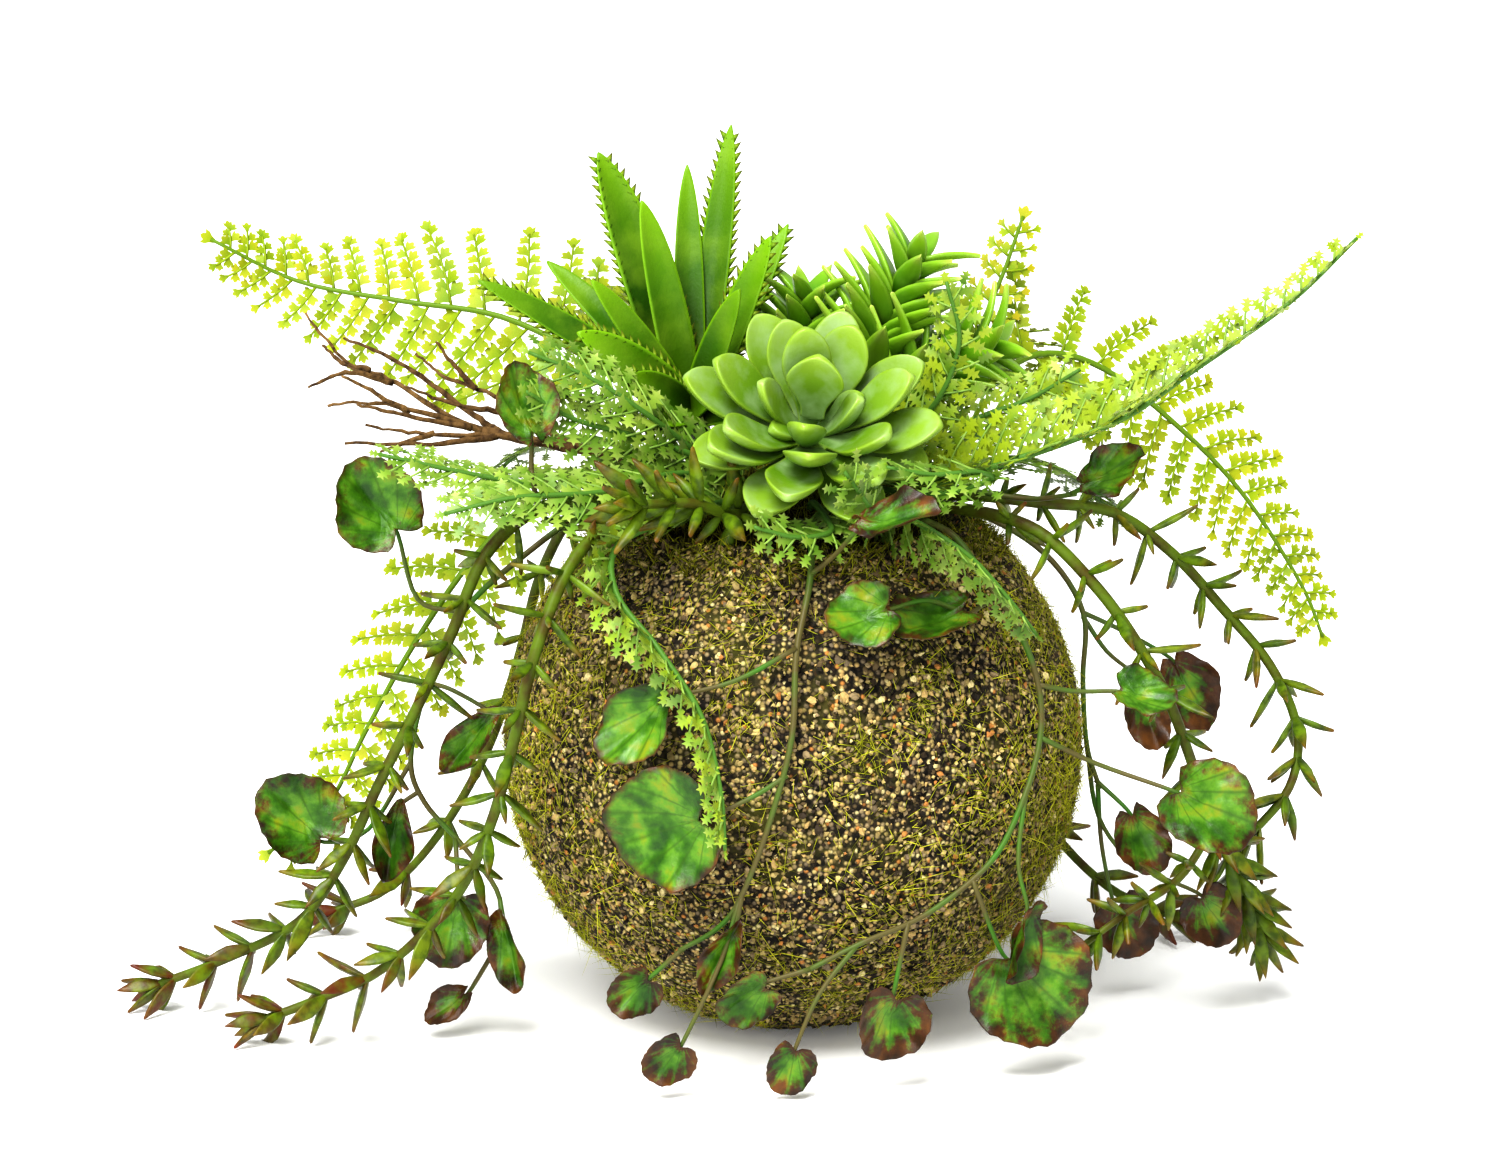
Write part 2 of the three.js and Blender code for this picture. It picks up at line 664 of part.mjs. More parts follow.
const yellowFronds = [
  {
    foot: [19, 160],
    route: [
      [-30, 12, 136], [-46, 16, 148], [-67, 26, 157], [-91, 33, 160], [-115, 38, 164],
      [-135, 36, 174],
    ],
    face: [0.1, -1, 0.35],
    first: 0.34,
    pairs: 10,
    long: 29,
    short: 6,
    teeth: 3,
  },
  {
    foot: [24, 168],
    route: [
      [-40, 5, 124], [-58, 6, 118], [-73, 3, 104], [-87, -4, 84], [-97, -6, 66], [-106, -8, 49],
      [-119, -10, 39],
    ],
    face: [-0.4, -1, 0.4],
    first: 0.4,
    pairs: 10,
    long: 20,
    short: 7,
  },
  {
    foot: [19, 30],
    route: [
      [30, 12, 132], [42, 14, 141], [56, 20, 149], [72, 25, 145], [92, 28, 129], [106, 28, 114],
      [119, 28, 94], [124, 26, 82],
    ],
    face: [0.2, -1, 0.4],
    first: 0.3,
    pairs: 10,
    long: 25,
    short: 6,
    teeth: 3,
  },
  {
    foot: [14, 60],
    route: [[24, 18, 136], [38, 20, 147], [47, 24, 164], [53, 28, 180]],
    face: [-0.1, -1, 0.3],
    first: 0.42,
    pairs: 8,
    long: 16,
    short: 6,
  },
  {
    foot: [19, 110],
    route: [[-14, 34, 134], [-26, 52, 149], [-38, 72, 157], [-46, 90, 157], [-52, 104, 150]],
    face: [0.3, 0.5, 1],
    first: 0.36,
    pairs: 11,
    long: 23,
    short: 6,
  },
  {
    foot: [19, 50],
    route: [[20, 34, 134], [32, 52, 145], [46, 66, 148], [62, 78, 140], [74, 88, 126]],
    face: [0.2, 0.6, 1],
    first: 0.36,
    pairs: 11,
    long: 21,
    short: 6,
  },
];

const paleFronds = [
  {
    foot: [19, 200],
    route: [[-34, -20, 127], [-51, -30, 126], [-69, -33, 129], [-90, -36, 134]],
    face: [-0.1, -0.6, 1],
    first: 0.36,
    pairs: 8,
    long: 12,
    short: 6,
  },
  {
    foot: [19, 215],
    route: [[-27, -25, 128], [-42, -38, 126], [-60, -45, 126], [-75, -49, 123]],
    face: [-0.1, -0.8, 0.8],
    first: 0.36,
    pairs: 8,
    long: 11,
    short: 6,
  },
  {
    foot: [12, 200],
    route: [[-20, -14, 130], [-31, -23, 140], [-44, -26, 149], [-58, -26, 155]],
    face: [0, -0.8, 0.8],
    first: 0.4,
    pairs: 7,
    long: 11,
    short: 6,
  },
  {
    foot: [16, 225],
    route: [[-22, -18, 131], [-34, -24, 136], [-48, -31, 141], [-58, -38, 148]],
    face: [0.1, -0.9, 0.6],
    first: 0.4,
    pairs: 7,
    long: 10,
    short: 6,
  },
  {
    foot: [26, 240],
    route: [
      [-24, -38, 121], [-38, -47, 116], [-38, -57, 107], [-29, -66, 97], [-20, -72, 84],
      [-16, -75, 69], [-15, -76, 56],
    ],
    face: [-1, -0.35, 0.1],
    fold: 50,
    first: 0.3,
    pairs: 13,
    long: 10,
    short: 4,
  },
  {
    foot: [12, 330],
    route: [[17, -9, 131], [30, -16, 141], [36, -20, 156], [33, -22, 170]],
    face: [-0.2, -1, 0.2],
    first: 0.42,
    pairs: 8,
    long: 10,
    short: 5,
  },
  {
    foot: [19, 330],
    route: [
      [30, -18, 125], [46, -28, 131], [70, -28, 140], [86, -24, 150], [108, -20, 165],
      [123, -17, 179],
    ],
    face: [-0.55, -0.5, 0.7],
    fold: 50,
    first: 0.26,
    pairs: 15,
    long: 15,
    short: 3,
  },
  {
    foot: [22, 315],
    route: [[29, -30, 124], [42, -40, 129], [38, -48, 132], [29, -52, 132], [19, -55, 134]],
    face: [0, -0.6, 1],
    first: 0.5,
    pairs: 5,
    long: 7,
    short: 5,
  },
  {
    foot: [25, 278],
    route: [[7, -40, 120], [7, -49, 119], [0, -55, 119], [-9, -60, 122]],
    face: [0, -1, 0.6],
    first: 0.5,
    pairs: 5,
    long: 8,
    short: 5,
  },
  {
    foot: [25, 290],
    route: [[14, -38, 121], [16, -52, 124], [10, -61, 134]],
    face: [0.2, -1, 0.2],
    first: 0.5,
    pairs: 5,
    long: 8,
    short: 5,
  },
  {
    foot: [25, 302],
    route: [[22, -37, 121], [29, -46, 119], [38, -49, 113], [46, -48, 104], [52, -45, 96]],
    face: [-0.6, -0.5, -0.6],
    fold: 45,
    first: 0.42,
    pairs: 8,
    long: 10,
    short: 4,
  },
  {
    foot: [18, 345],
    route: [[28, -8, 130], [40, -10, 138], [52, -13, 143], [63, -16, 150]],
    face: [-0.3, -1, 0.6],
    first: 0.4,
    pairs: 8,
    long: 12,
    short: 6,
  },
  {
    foot: [24, 150],
    route: [[-34, 22, 126], [-50, 34, 128], [-64, 44, 123], [-74, 52, 112]],
    face: [-0.4, 0.4, 1],
    first: 0.36,
    pairs: 8,
    long: 13,
    short: 6,
  },
  {
    foot: [24, 85],
    route: [[6, 40, 125], [10, 56, 127], [15, 70, 121], [18, 80, 110]],
    face: [0, 0.5, 1],
    first: 0.36,
    pairs: 8,
    long: 13,
    short: 6,
  },
  {
    foot: [24, 22],
    route: [[38, 16, 124], [54, 26, 124], [68, 36, 117], [78, 44, 106]],
    face: [0.4, 0.3, 1],
    first: 0.36,
    pairs: 8,
    long: 13,
    short: 6,
  },
];

const sedums = [
  {
    foot: [30, 192],
    route: [
      [-43, -13, 121], [-57, -19, 119], [-68, -26, 110], [-75, -28, 94], [-82, -28, 79],
      [-92, -27, 59], [-101, -22, 40], [-112, -14, 24], [-130, -6, 13], [-147, -4, 6],
    ],
    whorls: 14,
    first: 0.2,
    leafLength: 10,
  },
  {
    foot: [30, 215],
    route: [
      [-35, -34, 121], [-47, -51, 114], [-55, -60, 96], [-60, -59, 76], [-66, -52, 55],
      [-75, -42, 36], [-91, -35, 19], [-106, -32, 11], [-119, -32, 6],
    ],
    whorls: 14,
    first: 0.2,
    leafLength: 10,
  },
  {
    foot: [27, 250],
    route: [[-14, -38, 121], [-22, -47, 125], [-33, -55, 126]],
    whorls: 4,
    first: 0.42,
    leafLength: 11,
  },
  {
    foot: [30, 5],
    route: [
      [40, 3, 119], [56, 5, 117], [73, 10, 114], [87, 14, 104], [99, 14, 91], [110, 12, 78],
      [116, 8, 64], [114, 4, 51], [104, 2, 39],
    ],
    whorls: 12,
    first: 0.2,
    leafLength: 10,
  },
  {
    foot: [30, 340],
    route: [
      [39, -19, 119], [53, -28, 116], [65, -31, 105], [74, -30, 93], [82, -28, 79], [88, -24, 64],
      [93, -17, 49], [100, -9, 35], [107, 1, 20], [109, 5, 13],
    ],
    branch: [[94, -16, 46], [86, -22, 36], [73, -31, 30], [61, -35, 22]],
    whorls: 11,
    first: 0.22,
    leafLength: 10,
    endCluster: 3,
  },
  {
    foot: [30, 140],
    route: [
      [-36, 34, 119], [-50, 47, 110], [-60, 56, 92], [-66, 59, 70], [-74, 60, 47], [-86, 61, 26],
      [-99, 62, 12], [-113, 62, 6],
    ],
    whorls: 8,
    first: 0.24,
    leafLength: 10,
  },
  {
    foot: [30, 60],
    route: [
      [24, 42, 119], [35, 58, 109], [41, 66, 91], [45, 68, 70], [51, 66, 48], [63, 63, 28],
      [78, 60, 13], [94, 58, 6],
    ],
    whorls: 8,
    first: 0.24,
    leafLength: 10,
  },
];

const vines = [
  {
    foot: [30, 270],
    route: [
      [3, -42, 118], [3, -51, 109], [0, -60, 95], [-1, -66, 78], [-6, -68, 59], [-12, -67, 43],
      [-17, -65, 36], [-25, -64, 31],
    ],
    petioles: [
      {
        from: [-2, -67, 70],
        via: [[-9, -69, 66], [-18, -70, 62]],
        tip: [-38, -62, 56],
        wide: 1.12,
      },
      {
        from: [0, -60, 96],
        via: [[-13, -65, 90], [-27, -64, 86]],
        tip: [-40, -62, 73],
        wide: 0.8,
      },
      { from: [-24, -64, 31.5], via: [[-31, -63, 25]], tip: [-39, -63, 18] },
      { from: [-11.5, -67, 44], via: [[-13, -68, 37]], tip: [-20, -67, 23], wide: 0.5 },
      { from: [-12, -67, 43], via: [[-16, -69, 30], [-24, -71, 13]], tip: [-31, -70, 5] },
      {
        from: [3, -50, 110],
        via: [[8, -55, 115], [13, -63, 122]],
        tip: [29, -67, 126],
        face: [0, -0.5, 1],
        wide: 0.8,
      },
    ],
  },
  {
    foot: [30, 312],
    route: [
      [33, -34, 117], [42, -42, 106], [49, -41, 95], [53, -40, 83], [53, -43, 72], [49, -49, 60],
      [42, -54, 48], [28, -60, 38], [14, -65, 33], [2, -66, 27],
    ],
    petioles: [
      { from: [3, -66, 27.5], via: [[-6, -67, 25]], tip: [-16, -67, 18] },
      { from: [13, -65, 32.5], via: [[5, -69, 23], [0, -71, 12]], tip: [-3, -70, 2] },
      { from: [24, -61.7, 36.5], via: [[21, -64, 22]], tip: [18, -65, 8], wide: 1.15 },
      { from: [38, -56, 44.5], via: [[44, -54, 29]], tip: [59, -52, 11], wide: 1.1 },
      {
        from: [50, -47.5, 63],
        via: [[48, -53, 48], [50, -55, 38]],
        tip: [45, -57, 22],
        wide: 0.5,
      },
      { from: [53, -40, 84], via: [[61, -37, 82], [70, -37, 82]], tip: [82, -39, 79] },
      {
        from: [53, -42.7, 73],
        via: [[66, -38, 66], [82, -42, 61]],
        tip: [99, -43, 52],
        face: [0.1, -1, 0.4],
      },
      {
        from: [43, -42, 104],
        via: [[37, -48, 101]],
        tip: [20, -60, 99],
        face: [0.1, -0.5, 1],
        wide: 0.8,
      },
      {
        from: [37, -48, 101],
        via: [[28, -53, 105], [20, -58, 104]],
        tip: [7, -62, 100],
        face: [0, -0.8, 0.6],
      },
    ],
  },
  {
    foot: [30, 352],
    route: [[42, -6, 116], [57, 0, 106], [66, 3, 92], [66, 1, 77], [67, 0, 62], [70, -2, 52]],
    petioles: [
      {
        from: [69, -1.5, 54],
        via: [[76, -6, 48]],
        tip: [82, -8, 34],
        face: [0.1, -1, 0.3],
        wide: 0.8,
      },
      {
        from: [67, 0, 62],
        via: [[70, 1, 45], [78, -3, 35], [92, -7, 29]],
        tip: [99, -8, 18],
        face: [0, -1, 0.2],
      },
      {
        from: [69.5, -1.8, 53],
        via: [[71, 3, 38], [74, 6, 24]],
        tip: [80, 8, 11],
        face: [0.2, -1, 0.2],
      },
      {
        from: [66, 3, 91],
        via: [[72, 8, 82], [79, 9, 76]],
        tip: [83, 8, 60],
        face: [0.2, -1, 0.1],
        wide: 0.7,
      },
      {
        from: [66, 3, 92],
        via: [[76, 12, 86], [88, 20, 78]],
        tip: [96, 19, 62],
        face: [0.2, -1, 0.2],
        wide: 0.8,
      },
    ],
  },
  {
    foot: [30, 178],
    route: [
      [-45, -4, 117], [-61, -11, 107], [-74, -13, 95], [-82, -13, 79], [-86, -14, 62],
      [-83, -15, 52], [-74, -17, 42], [-66, -20, 31], [-68, -22, 18],
    ],
    petioles: [
      {
        from: [-67.5, -22, 19],
        via: [[-73, -23, 10]],
        tip: [-82, -24, 4],
        face: [0, -1, 0.8],
        wide: 0.75,
      },
      {
        from: [-74, -13, 95],
        via: [[-84, -13, 98], [-88, -15, 113]],
        tip: [-99, -17, 128],
        face: [0, -1, 0.5],
      },
      {
        from: [-86, -14, 61],
        via: [[-96, -12, 45], [-106, -12, 42]],
        tip: [-118, -13, 56],
        face: [0.1, -1, 0.3],
      },
      {
        from: [-84, -14.5, 54.5],
        via: [[-89, -16, 51]],
        tip: [-92, -17, 34],
        face: [0.2, -1, 0.1],
        wide: 0.5,
      },
      {
        from: [-82, -13, 79],
        via: [[-76, -17, 78], [-67, -20, 73]],
        tip: [-78, -20, 60],
        face: [-0.3, -1, 0.1],
        wide: 0.5,
      },
      {
        from: [-66, -20, 31],
        via: [[-65, -23, 27]],
        tip: [-61, -25, 11],
        face: [-0.4, -1, 0.1],
        wide: 0.5,
      },
      {
        from: [-76, -16.6, 44],
        via: [[-75, -24, 33]],
        tip: [-79, -28, 18],
        face: [0.1, -1, 0.2],
      },
    ],
  },
  {
    foot: [30, 203],
    route: [[-42, -22, 118], [-54, -37, 120], [-57, -38, 131]],
    petioles: [
      {
        from: [-57, -38, 130],
        via: [[-57, -37, 137]],
        tip: [-61, -34, 153],
        face: [0.5, -1, 0.2],
        wide: 0.8,
      },
    ],
  },
  {
    foot: [24, 355],
    route: [[38, -9, 122], [52, -15, 121], [62, -21, 123]],
    petioles: [
      {
        from: [61, -20.5, 123],
        via: [[64, -23, 125]],
        tip: [76, -28, 132],
        face: [-0.2, -1, 0.8],
        wide: 0.8,
      },
    ],
  },
  {
    foot: [30, 115],
    route: [[-19, 42, 118], [-28, 56, 104], [-32, 63, 84], [-30, 66, 62]],
    petioles: [
      { from: [-30, 66, 63], via: [[-32, 66, 46]], tip: [-35, 63, 28] },
      { from: [-32, 63, 85], via: [[-42, 62, 78]], tip: [-54, 56, 66] },
      { from: [-29, 57.5, 102], via: [[-21, 66, 90]], tip: [-13, 70, 76] },
    ],
  },
  {
    foot: [30, 80],
    route: [[8, 43, 118], [11, 58, 104], [14, 68, 84], [10, 70, 62], [4, 69, 42]],
    petioles: [
      { from: [4, 69, 43], via: [[2, 68, 34]], tip: [-2, 64, 18] },
      { from: [10.5, 70, 64], via: [[18, 71, 54]], tip: [28, 67, 40] },
      { from: [14, 68, 85], via: [[22, 69, 82]], tip: [35, 68, 78] },
    ],
  },
];

const fingerStems = [
  { foot: [10, 45], route: [[14, 8, 140], [20, 8, 157], [27, 9, 175]], whorls: 5, first: 0.46 },
  { foot: [12, 90], route: [[1, 14, 142], [3, 14, 161]], whorls: 4, first: 0.5 },
  { foot: [14, 15], route: [[21, 4, 135], [30, 3, 147], [43, 3, 152]], whorls: 4, first: 0.52 },
];

// A frond with teeth on its pinnae has them as blades of their own. The others are cut to the rib.
const anyFrond = (spec) => (spec.teeth ? frond(spec) : cutFrond(spec));
const yellowFrond = (spec) => anyFrond({ ...spec, finish: YELLOW_FERN, spread: WIDE });
const paleFrond = (spec) => anyFrond({ ...spec, finish: PALE_FERN, spread: MEDIUM });

// Builds each plant of a list, with its number in its name.
const numbered = (stem, list, build) =>
  list.map((spec, i) => build({ ...spec, name: `${stem}_${i + 1}` }));

const plants = [
  rosette(),
  aloe(),
  ...numbered("finger_stem", fingerStems, fingerStem),
  ...numbered("fern_yellow", yellowFronds, yellowFrond),
  ...numbered("fern_pale", paleFronds, paleFrond),
  ...numbered("vine", vines, vine),
  ...numbered("sedum", sedums, sedum),
  twigBunch(),
];

// The ball

function sphereProfile(radius, fromRadius, toRadius) {
  const from = Math.PI - Math.asin(fromRadius / radius);
  const to = Math.asin(toRadius / radius);
  const points = [];
  for (let i = 0; i <= BALL_STATIONS; i++) {
    const angle = THREE.MathUtils.lerp(from, to, i / BALL_STATIONS);
    points.push(new THREE.Vector2(radius * Math.sin(angle), CENTRE_Z + radius * Math.cos(angle)));
  }
  return points;
}

function turned(profile) {
  return solidOf(new THREE.LatheGeometry(profile, BALL_SEGMENTS).rotateX(Math.PI / 2));
}

function mossSkin() {
  const outer = sphereProfile(BALL_RADIUS, REST_RADIUS, MOUTH_RADIUS);
  const inner = sphereProfile(INNER_RADIUS, 0, LIP_RADIUS).reverse();
  return turned([new THREE.Vector2(0, 0), ...outer, ...inner]);
}

function soilCore() {
  const mound = [0.9, 0.72, 0.45, 0].map((share) => {
    const radius = share * SOIL_EDGE_RADIUS;
    return new THREE.Vector2(radius, soilHeight(radius));
  });
  const core = turned([...sphereProfile(SOIL_RADIUS, 0, SOIL_EDGE_RADIUS), ...mound]);
  return plants.reduce((soil, { foot, radius }) => {
    const [[x, y, bottom], [, , top]] = footPoints(foot);
    const holeRadius = (radius + GAP) / Math.cos(Math.PI / HOLE_SIDES);
    const height = top - bottom + GAP;
    const hole = new THREE.CylinderGeometry(holeRadius, holeRadius, height, HOLE_SIDES);
    hole.rotateX(Math.PI / 2).translate(x, y, bottom - GAP + height / 2);
    return soil.subtract(solidOf(hole));
  }, core);
}

place("moss_skin", mossSkin());
place("soil_core", soilCore());
plants.forEach(({ name, stalks }) => stalks.forEach((stalk) => place(name, stalk)));
plants.forEach(leafOut);

const kokedama = new THREE.Group();
const solidsOf = (name) => placed.filter(({ node }) => node === name).map(({ solid }) => solid);
kokedama.add(meshOf("moss_skin", fuse(solidsOf("moss_skin")), MOSS));
kokedama.add(meshOf("soil_core", fuse(solidsOf("soil_core")), SOIL));
plants.forEach(({ name, finish }) => kokedama.add(meshOf(name, fuse(solidsOf(name)), finish)));

export default kokedama;
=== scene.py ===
"""Looks of a kokedama: a moss-clad soil ball planted with ferns, succulents, sedum and vines.

Sizes are in millimetres until a piece becomes a mesh, which is in metres. +Z is up, the front
faces -Y, and the origin is the middle of the flat spot that the ball rests on.
"""

import math
from functools import partial

import bmesh
import bpy
import numpy as np
from mathutils import Matrix, Vector, noise


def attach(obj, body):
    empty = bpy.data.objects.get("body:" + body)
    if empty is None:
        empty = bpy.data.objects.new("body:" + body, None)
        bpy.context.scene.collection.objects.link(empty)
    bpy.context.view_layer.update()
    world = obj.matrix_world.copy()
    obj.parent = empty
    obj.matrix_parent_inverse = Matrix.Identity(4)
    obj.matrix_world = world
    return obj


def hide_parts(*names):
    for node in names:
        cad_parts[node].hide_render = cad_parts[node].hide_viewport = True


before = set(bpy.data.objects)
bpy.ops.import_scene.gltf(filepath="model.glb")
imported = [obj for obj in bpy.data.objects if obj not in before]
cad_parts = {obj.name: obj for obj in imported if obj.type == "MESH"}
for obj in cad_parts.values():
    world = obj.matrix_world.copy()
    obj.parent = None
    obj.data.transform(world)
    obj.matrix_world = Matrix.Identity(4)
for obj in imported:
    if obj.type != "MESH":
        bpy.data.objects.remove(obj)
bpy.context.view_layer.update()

MM = 0.001
SEED = 20
draw = np.random.default_rng(SEED)

# The last leaf of a stalk stands at this share of its length
STALK_END = 0.985

# The ball, as the solids have it
BALL_RADIUS = 65.0
REST_RADIUS = 16.0
SKIN_THICKNESS = 7.0
MOUTH_RADIUS = 40.0
LIP_WIDTH = 4.0
SOIL_RISE = 15.0
GAP = 0.3
PEG_DEPTH = 12.0
PEG_RISE = 1.5
CENTRE_Z = math.sqrt(BALL_RADIUS**2 - REST_RADIUS**2)
INNER_RADIUS = BALL_RADIUS - SKIN_THICKNESS
SOIL_RADIUS = INNER_RADIUS - GAP
LIP_RADIUS = MOUTH_RADIUS - LIP_WIDTH
SOIL_EDGE_RADIUS = LIP_RADIUS - GAP
SOIL_EDGE_Z = CENTRE_Z + math.sqrt(SOIL_RADIUS**2 - SOIL_EDGE_RADIUS**2)
BALL_CENTRE = np.array([0.0, 0.0, CENTRE_Z])

# How many of each small thing there are, and how large
GRAINS = 9800
GRAIN_RADIUS = 0.5
SAND_GRAINS = 15000
SAND_RADIUS = 0.38
BALL_FIBRES = 14000
FIBRE_LENGTH = 4.6
FIBRE_RADIUS = 0.1
FINE_STRANDS = 12000
FINE_LENGTH = 1.3 * FIBRE_LENGTH
FINE_RADIUS = 0.9 * FIBRE_RADIUS
MOUND_TUFTS = 7000
MOUND_CRUMBS = 1500

# What a piece's corners carry for its finish: the share along and across its leaf,
# a random tone for each leaf, and its age along the plant
MARKS = ("along", "across", "tone", "age")


# Vectors and lines

def unit(vector):
    return vector / np.linalg.norm(vector)


def units(rows):
    """Rows of vectors, each at unit length."""
    return rows / np.linalg.norm(rows, axis=1)[:, None]


def square_to(axis, direction):
    """The part of a direction that stands square on an axis, at unit length."""
    direction = np.asarray(direction, float)
    return unit(direction - axis * np.dot(direction, axis))


def turned(vector, axis, angle):
    return np.array(Matrix.Rotation(angle, 3, Vector(axis)) @ Vector(vector))


def blend(a, b, share):
    return a + (b - a) * share


def ease(low, high, value):
    """Rises smoothly from 0 at low to 1 at high."""
    share = np.clip((value - low) / (high - low), 0, 1)
    return share * share * (3 - 2 * share)


def smooth_line(points, steps):
    """A curve through each given point, with a number of steps to a stretch."""
    points = np.asarray(points, float)
    path = np.vstack([2 * points[0] - points[1], points, 2 * points[-1] - points[-2]])
    line = []
    for before, start, end, after in zip(path, path[1:], path[2:], path[3:]):
        leave = (end - before) / 2
        arrive = (after - start) / 2
        for t in np.arange(steps) / steps:
            cubic = (2 * start - 2 * end + leave + arrive) * t**3
            square = (3 * end - 3 * start - 2 * leave - arrive) * t**2
            line.append(cubic + square + leave * t + start)
    return np.array([*line, points[-1]])


class Route:
    """A smooth line through given points, read by the share of its length."""

    def __init__(self, points, steps=6):
        self.points = smooth_line(points, steps)
        lengths = np.linalg.norm(np.diff(self.points, axis=0), axis=1)
        self.reach = np.concatenate([[0], np.cumsum(lengths)])

    def at(self, share):
        distance = share * self.reach[-1]
        point = np.array([np.interp(distance, self.reach, axis) for axis in self.points.T])
        index = int(np.searchsorted(self.reach, distance, side="right"))
        index = min(max(index, 1), len(self.reach) - 1)
        return point, unit(self.points[index] - self.points[index - 1])

    def radii(self, root, tip):
        return blend(root, tip, self.reach / self.reach[-1])


def soil_height(radius):
    return SOIL_EDGE_Z + SOIL_RISE * (1 - (radius / SOIL_EDGE_RADIUS) ** 4)


def foot_points(foot):
    """The straight foot of a stalk in its hole, at a ring radius and an azimuth from +X."""
    ring, azimuth = foot
    x = ring * math.cos(math.radians(azimuth))
    y = ring * math.sin(math.radians(azimuth))
    z = soil_height(ring)
    return [[x, y, z - PEG_DEPTH], [x, y, z + PEG_RISE]]


# Meshes

def shape_of(bm):
    """The corners and triangles of a shape that mesh operators made."""
    bmesh.ops.triangulate(bm, faces=bm.faces)
    bm.verts.index_update()
    corners = np.array([vert.co[:] for vert in bm.verts])
    faces = np.array([[vert.index for vert in face.verts] for face in bm.faces])
    bm.free()
    return corners, faces


class Growth:
    """Gathers the parts of one piece and turns them into one mesh."""

    def __init__(self):
        self.parts = []

    def stalk(self, foot, route, root, tip, **look):
        """Adds a stalk from its hole along a route, with its two end radii, and gives its line."""
        line = Route([*foot_points(foot), *route])
        self.tubes([(line.points, line.radii(root, tip))], **look)
        return line

    def add(self, corners, faces, material=0, smooth=True, **marks):
        count = len(corners)
        full = {mark: np.broadcast_to(marks.get(mark, 0.5), count) for mark in MARKS}
        self.parts.append((corners, faces, material, smooth, full))

    def scatter(self, shape, matrices, places, material=0, smooth=True, **marks):
        """Adds a copy of a shape for each matrix and place. A mark is a number for each copy."""
        corners, faces = shape
        copies = np.einsum("nij,vj->nvi", matrices, corners) + places[:, None, :]
        offsets = np.arange(len(places))[:, None, None] * len(corners)
        full = {name: np.repeat(value, len(corners)) for name, value in marks.items()}
        full.setdefault("along", np.tile(corners[:, 0], len(places)))
        self.add(copies.reshape(-1, 3), (faces + offsets).reshape(-1, 3), material, smooth, **full)

    def tubes(self, stems, material=0, rounding=2, **marks):
        """Adds a round tube along each line of points, with a radius at each point."""
        curve = bpy.data.curves.new("stems", "CURVE")
        curve.dimensions = "3D"
        curve.bevel_depth = 1
        curve.bevel_resolution = rounding
        curve.use_fill_caps = True
        for points, radii in stems:
            spline = curve.splines.new("POLY")
            spline.points.add(len(points) - 1)
            spline.points.foreach_set("co", np.c_[points, np.ones(len(points))].ravel())
            spline.points.foreach_set("radius", np.asarray(radii, float))
        holder = bpy.data.objects.new("stems", curve)
        mesh = bpy.data.meshes.new_from_object(holder)
        bm = bmesh.new()
        bm.from_mesh(mesh)
        bmesh.ops.remove_doubles(bm, verts=bm.verts, dist=0.001)
        bpy.data.objects.remove(holder)
        bpy.data.curves.remove(curve)
        bpy.data.meshes.remove(mesh)
        self.add(*shape_of(bm), material, **marks)

    def build(self, name, node, slot, materials):
        starts = np.cumsum([0] + [len(corners) for corners, *_ in self.parts])
        corners = np.vstack([part[0] for part in self.parts])
        corners[:, 2] = np.maximum(corners[:, 2], 0)
        faces = np.vstack([part[1] + start for part, start in zip(self.parts, starts)])
        mesh = bpy.data.meshes.new(name)
        mesh.from_pydata((corners * MM).tolist(), [], faces.tolist())
        counts = [len(part[1]) for part in self.parts]
        finishes = np.repeat([part[2] for part in self.parts], counts)
        mesh.polygons.foreach_set("material_index", finishes.astype(np.int32))
        mesh.polygons.foreach_set("use_smooth", np.repeat([part[3] for part in self.parts], counts))
        for mark in MARKS:
            attribute = mesh.attributes.new(mark, "FLOAT", "POINT")
            values = np.concatenate([part[4][mark] for part in self.parts])
            attribute.data.foreach_set("value", values.astype(np.float32))
        for material in materials:
            mesh.materials.append(material)
        mesh.update()
        piece = bpy.data.objects.new(name, mesh)
        bpy.context.scene.collection.objects.link(piece)
        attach(piece, "root")
        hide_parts(node)


# Leaf shapes

def lens(outline, top, bottom):
    """A thin closed shape on an outline given for one side, from its root to its tip."""
    bm = bmesh.new()
    rim = [*outline, *[(x, -y) for x, y in outline[-2::-1]]]
    face = bm.faces.new([bm.verts.new((x, y, 0)) for x, y in rim[::-1]])
    bmesh.ops.poke(bm, faces=[face], offset=top)
    copied = bmesh.ops.duplicate(bm, geom=bm.verts[:] + bm.edges[:] + bm.faces[:])
    under = [part for part in copied["geom"] if isinstance(part, bmesh.types.BMVert)]
    bmesh.ops.scale(bm, verts=under, vec=(1, 1, -bottom / top))
    bmesh.ops.remove_doubles(bm, verts=bm.verts, dist=1e-4)
    bmesh.ops.recalc_face_normals(bm, faces=bm.faces)
    return shape_of(bm)


# A leaflet with two pairs of teeth, and one like a broad arrowhead with three points
TOOTHED_LEAFLET = lens(
    [(0, 0.09), (0.16, 0.28), (0.36, 0.13), (0.5, 0.46), (0.6, 0.13), (0.8, 0.38), (0.83, 0.1),
     (1.03, 0)],
    top=0.14, bottom=0.1)
ARROW_LEAFLET = lens(
    [(0, 0.14), (0.3, 0.25), (0.55, 0.45), (0.87, 0.5), (0.76, 0.24), (0.92, 0.17), (1.05, 0)],
    top=0.12, bottom=0.08)

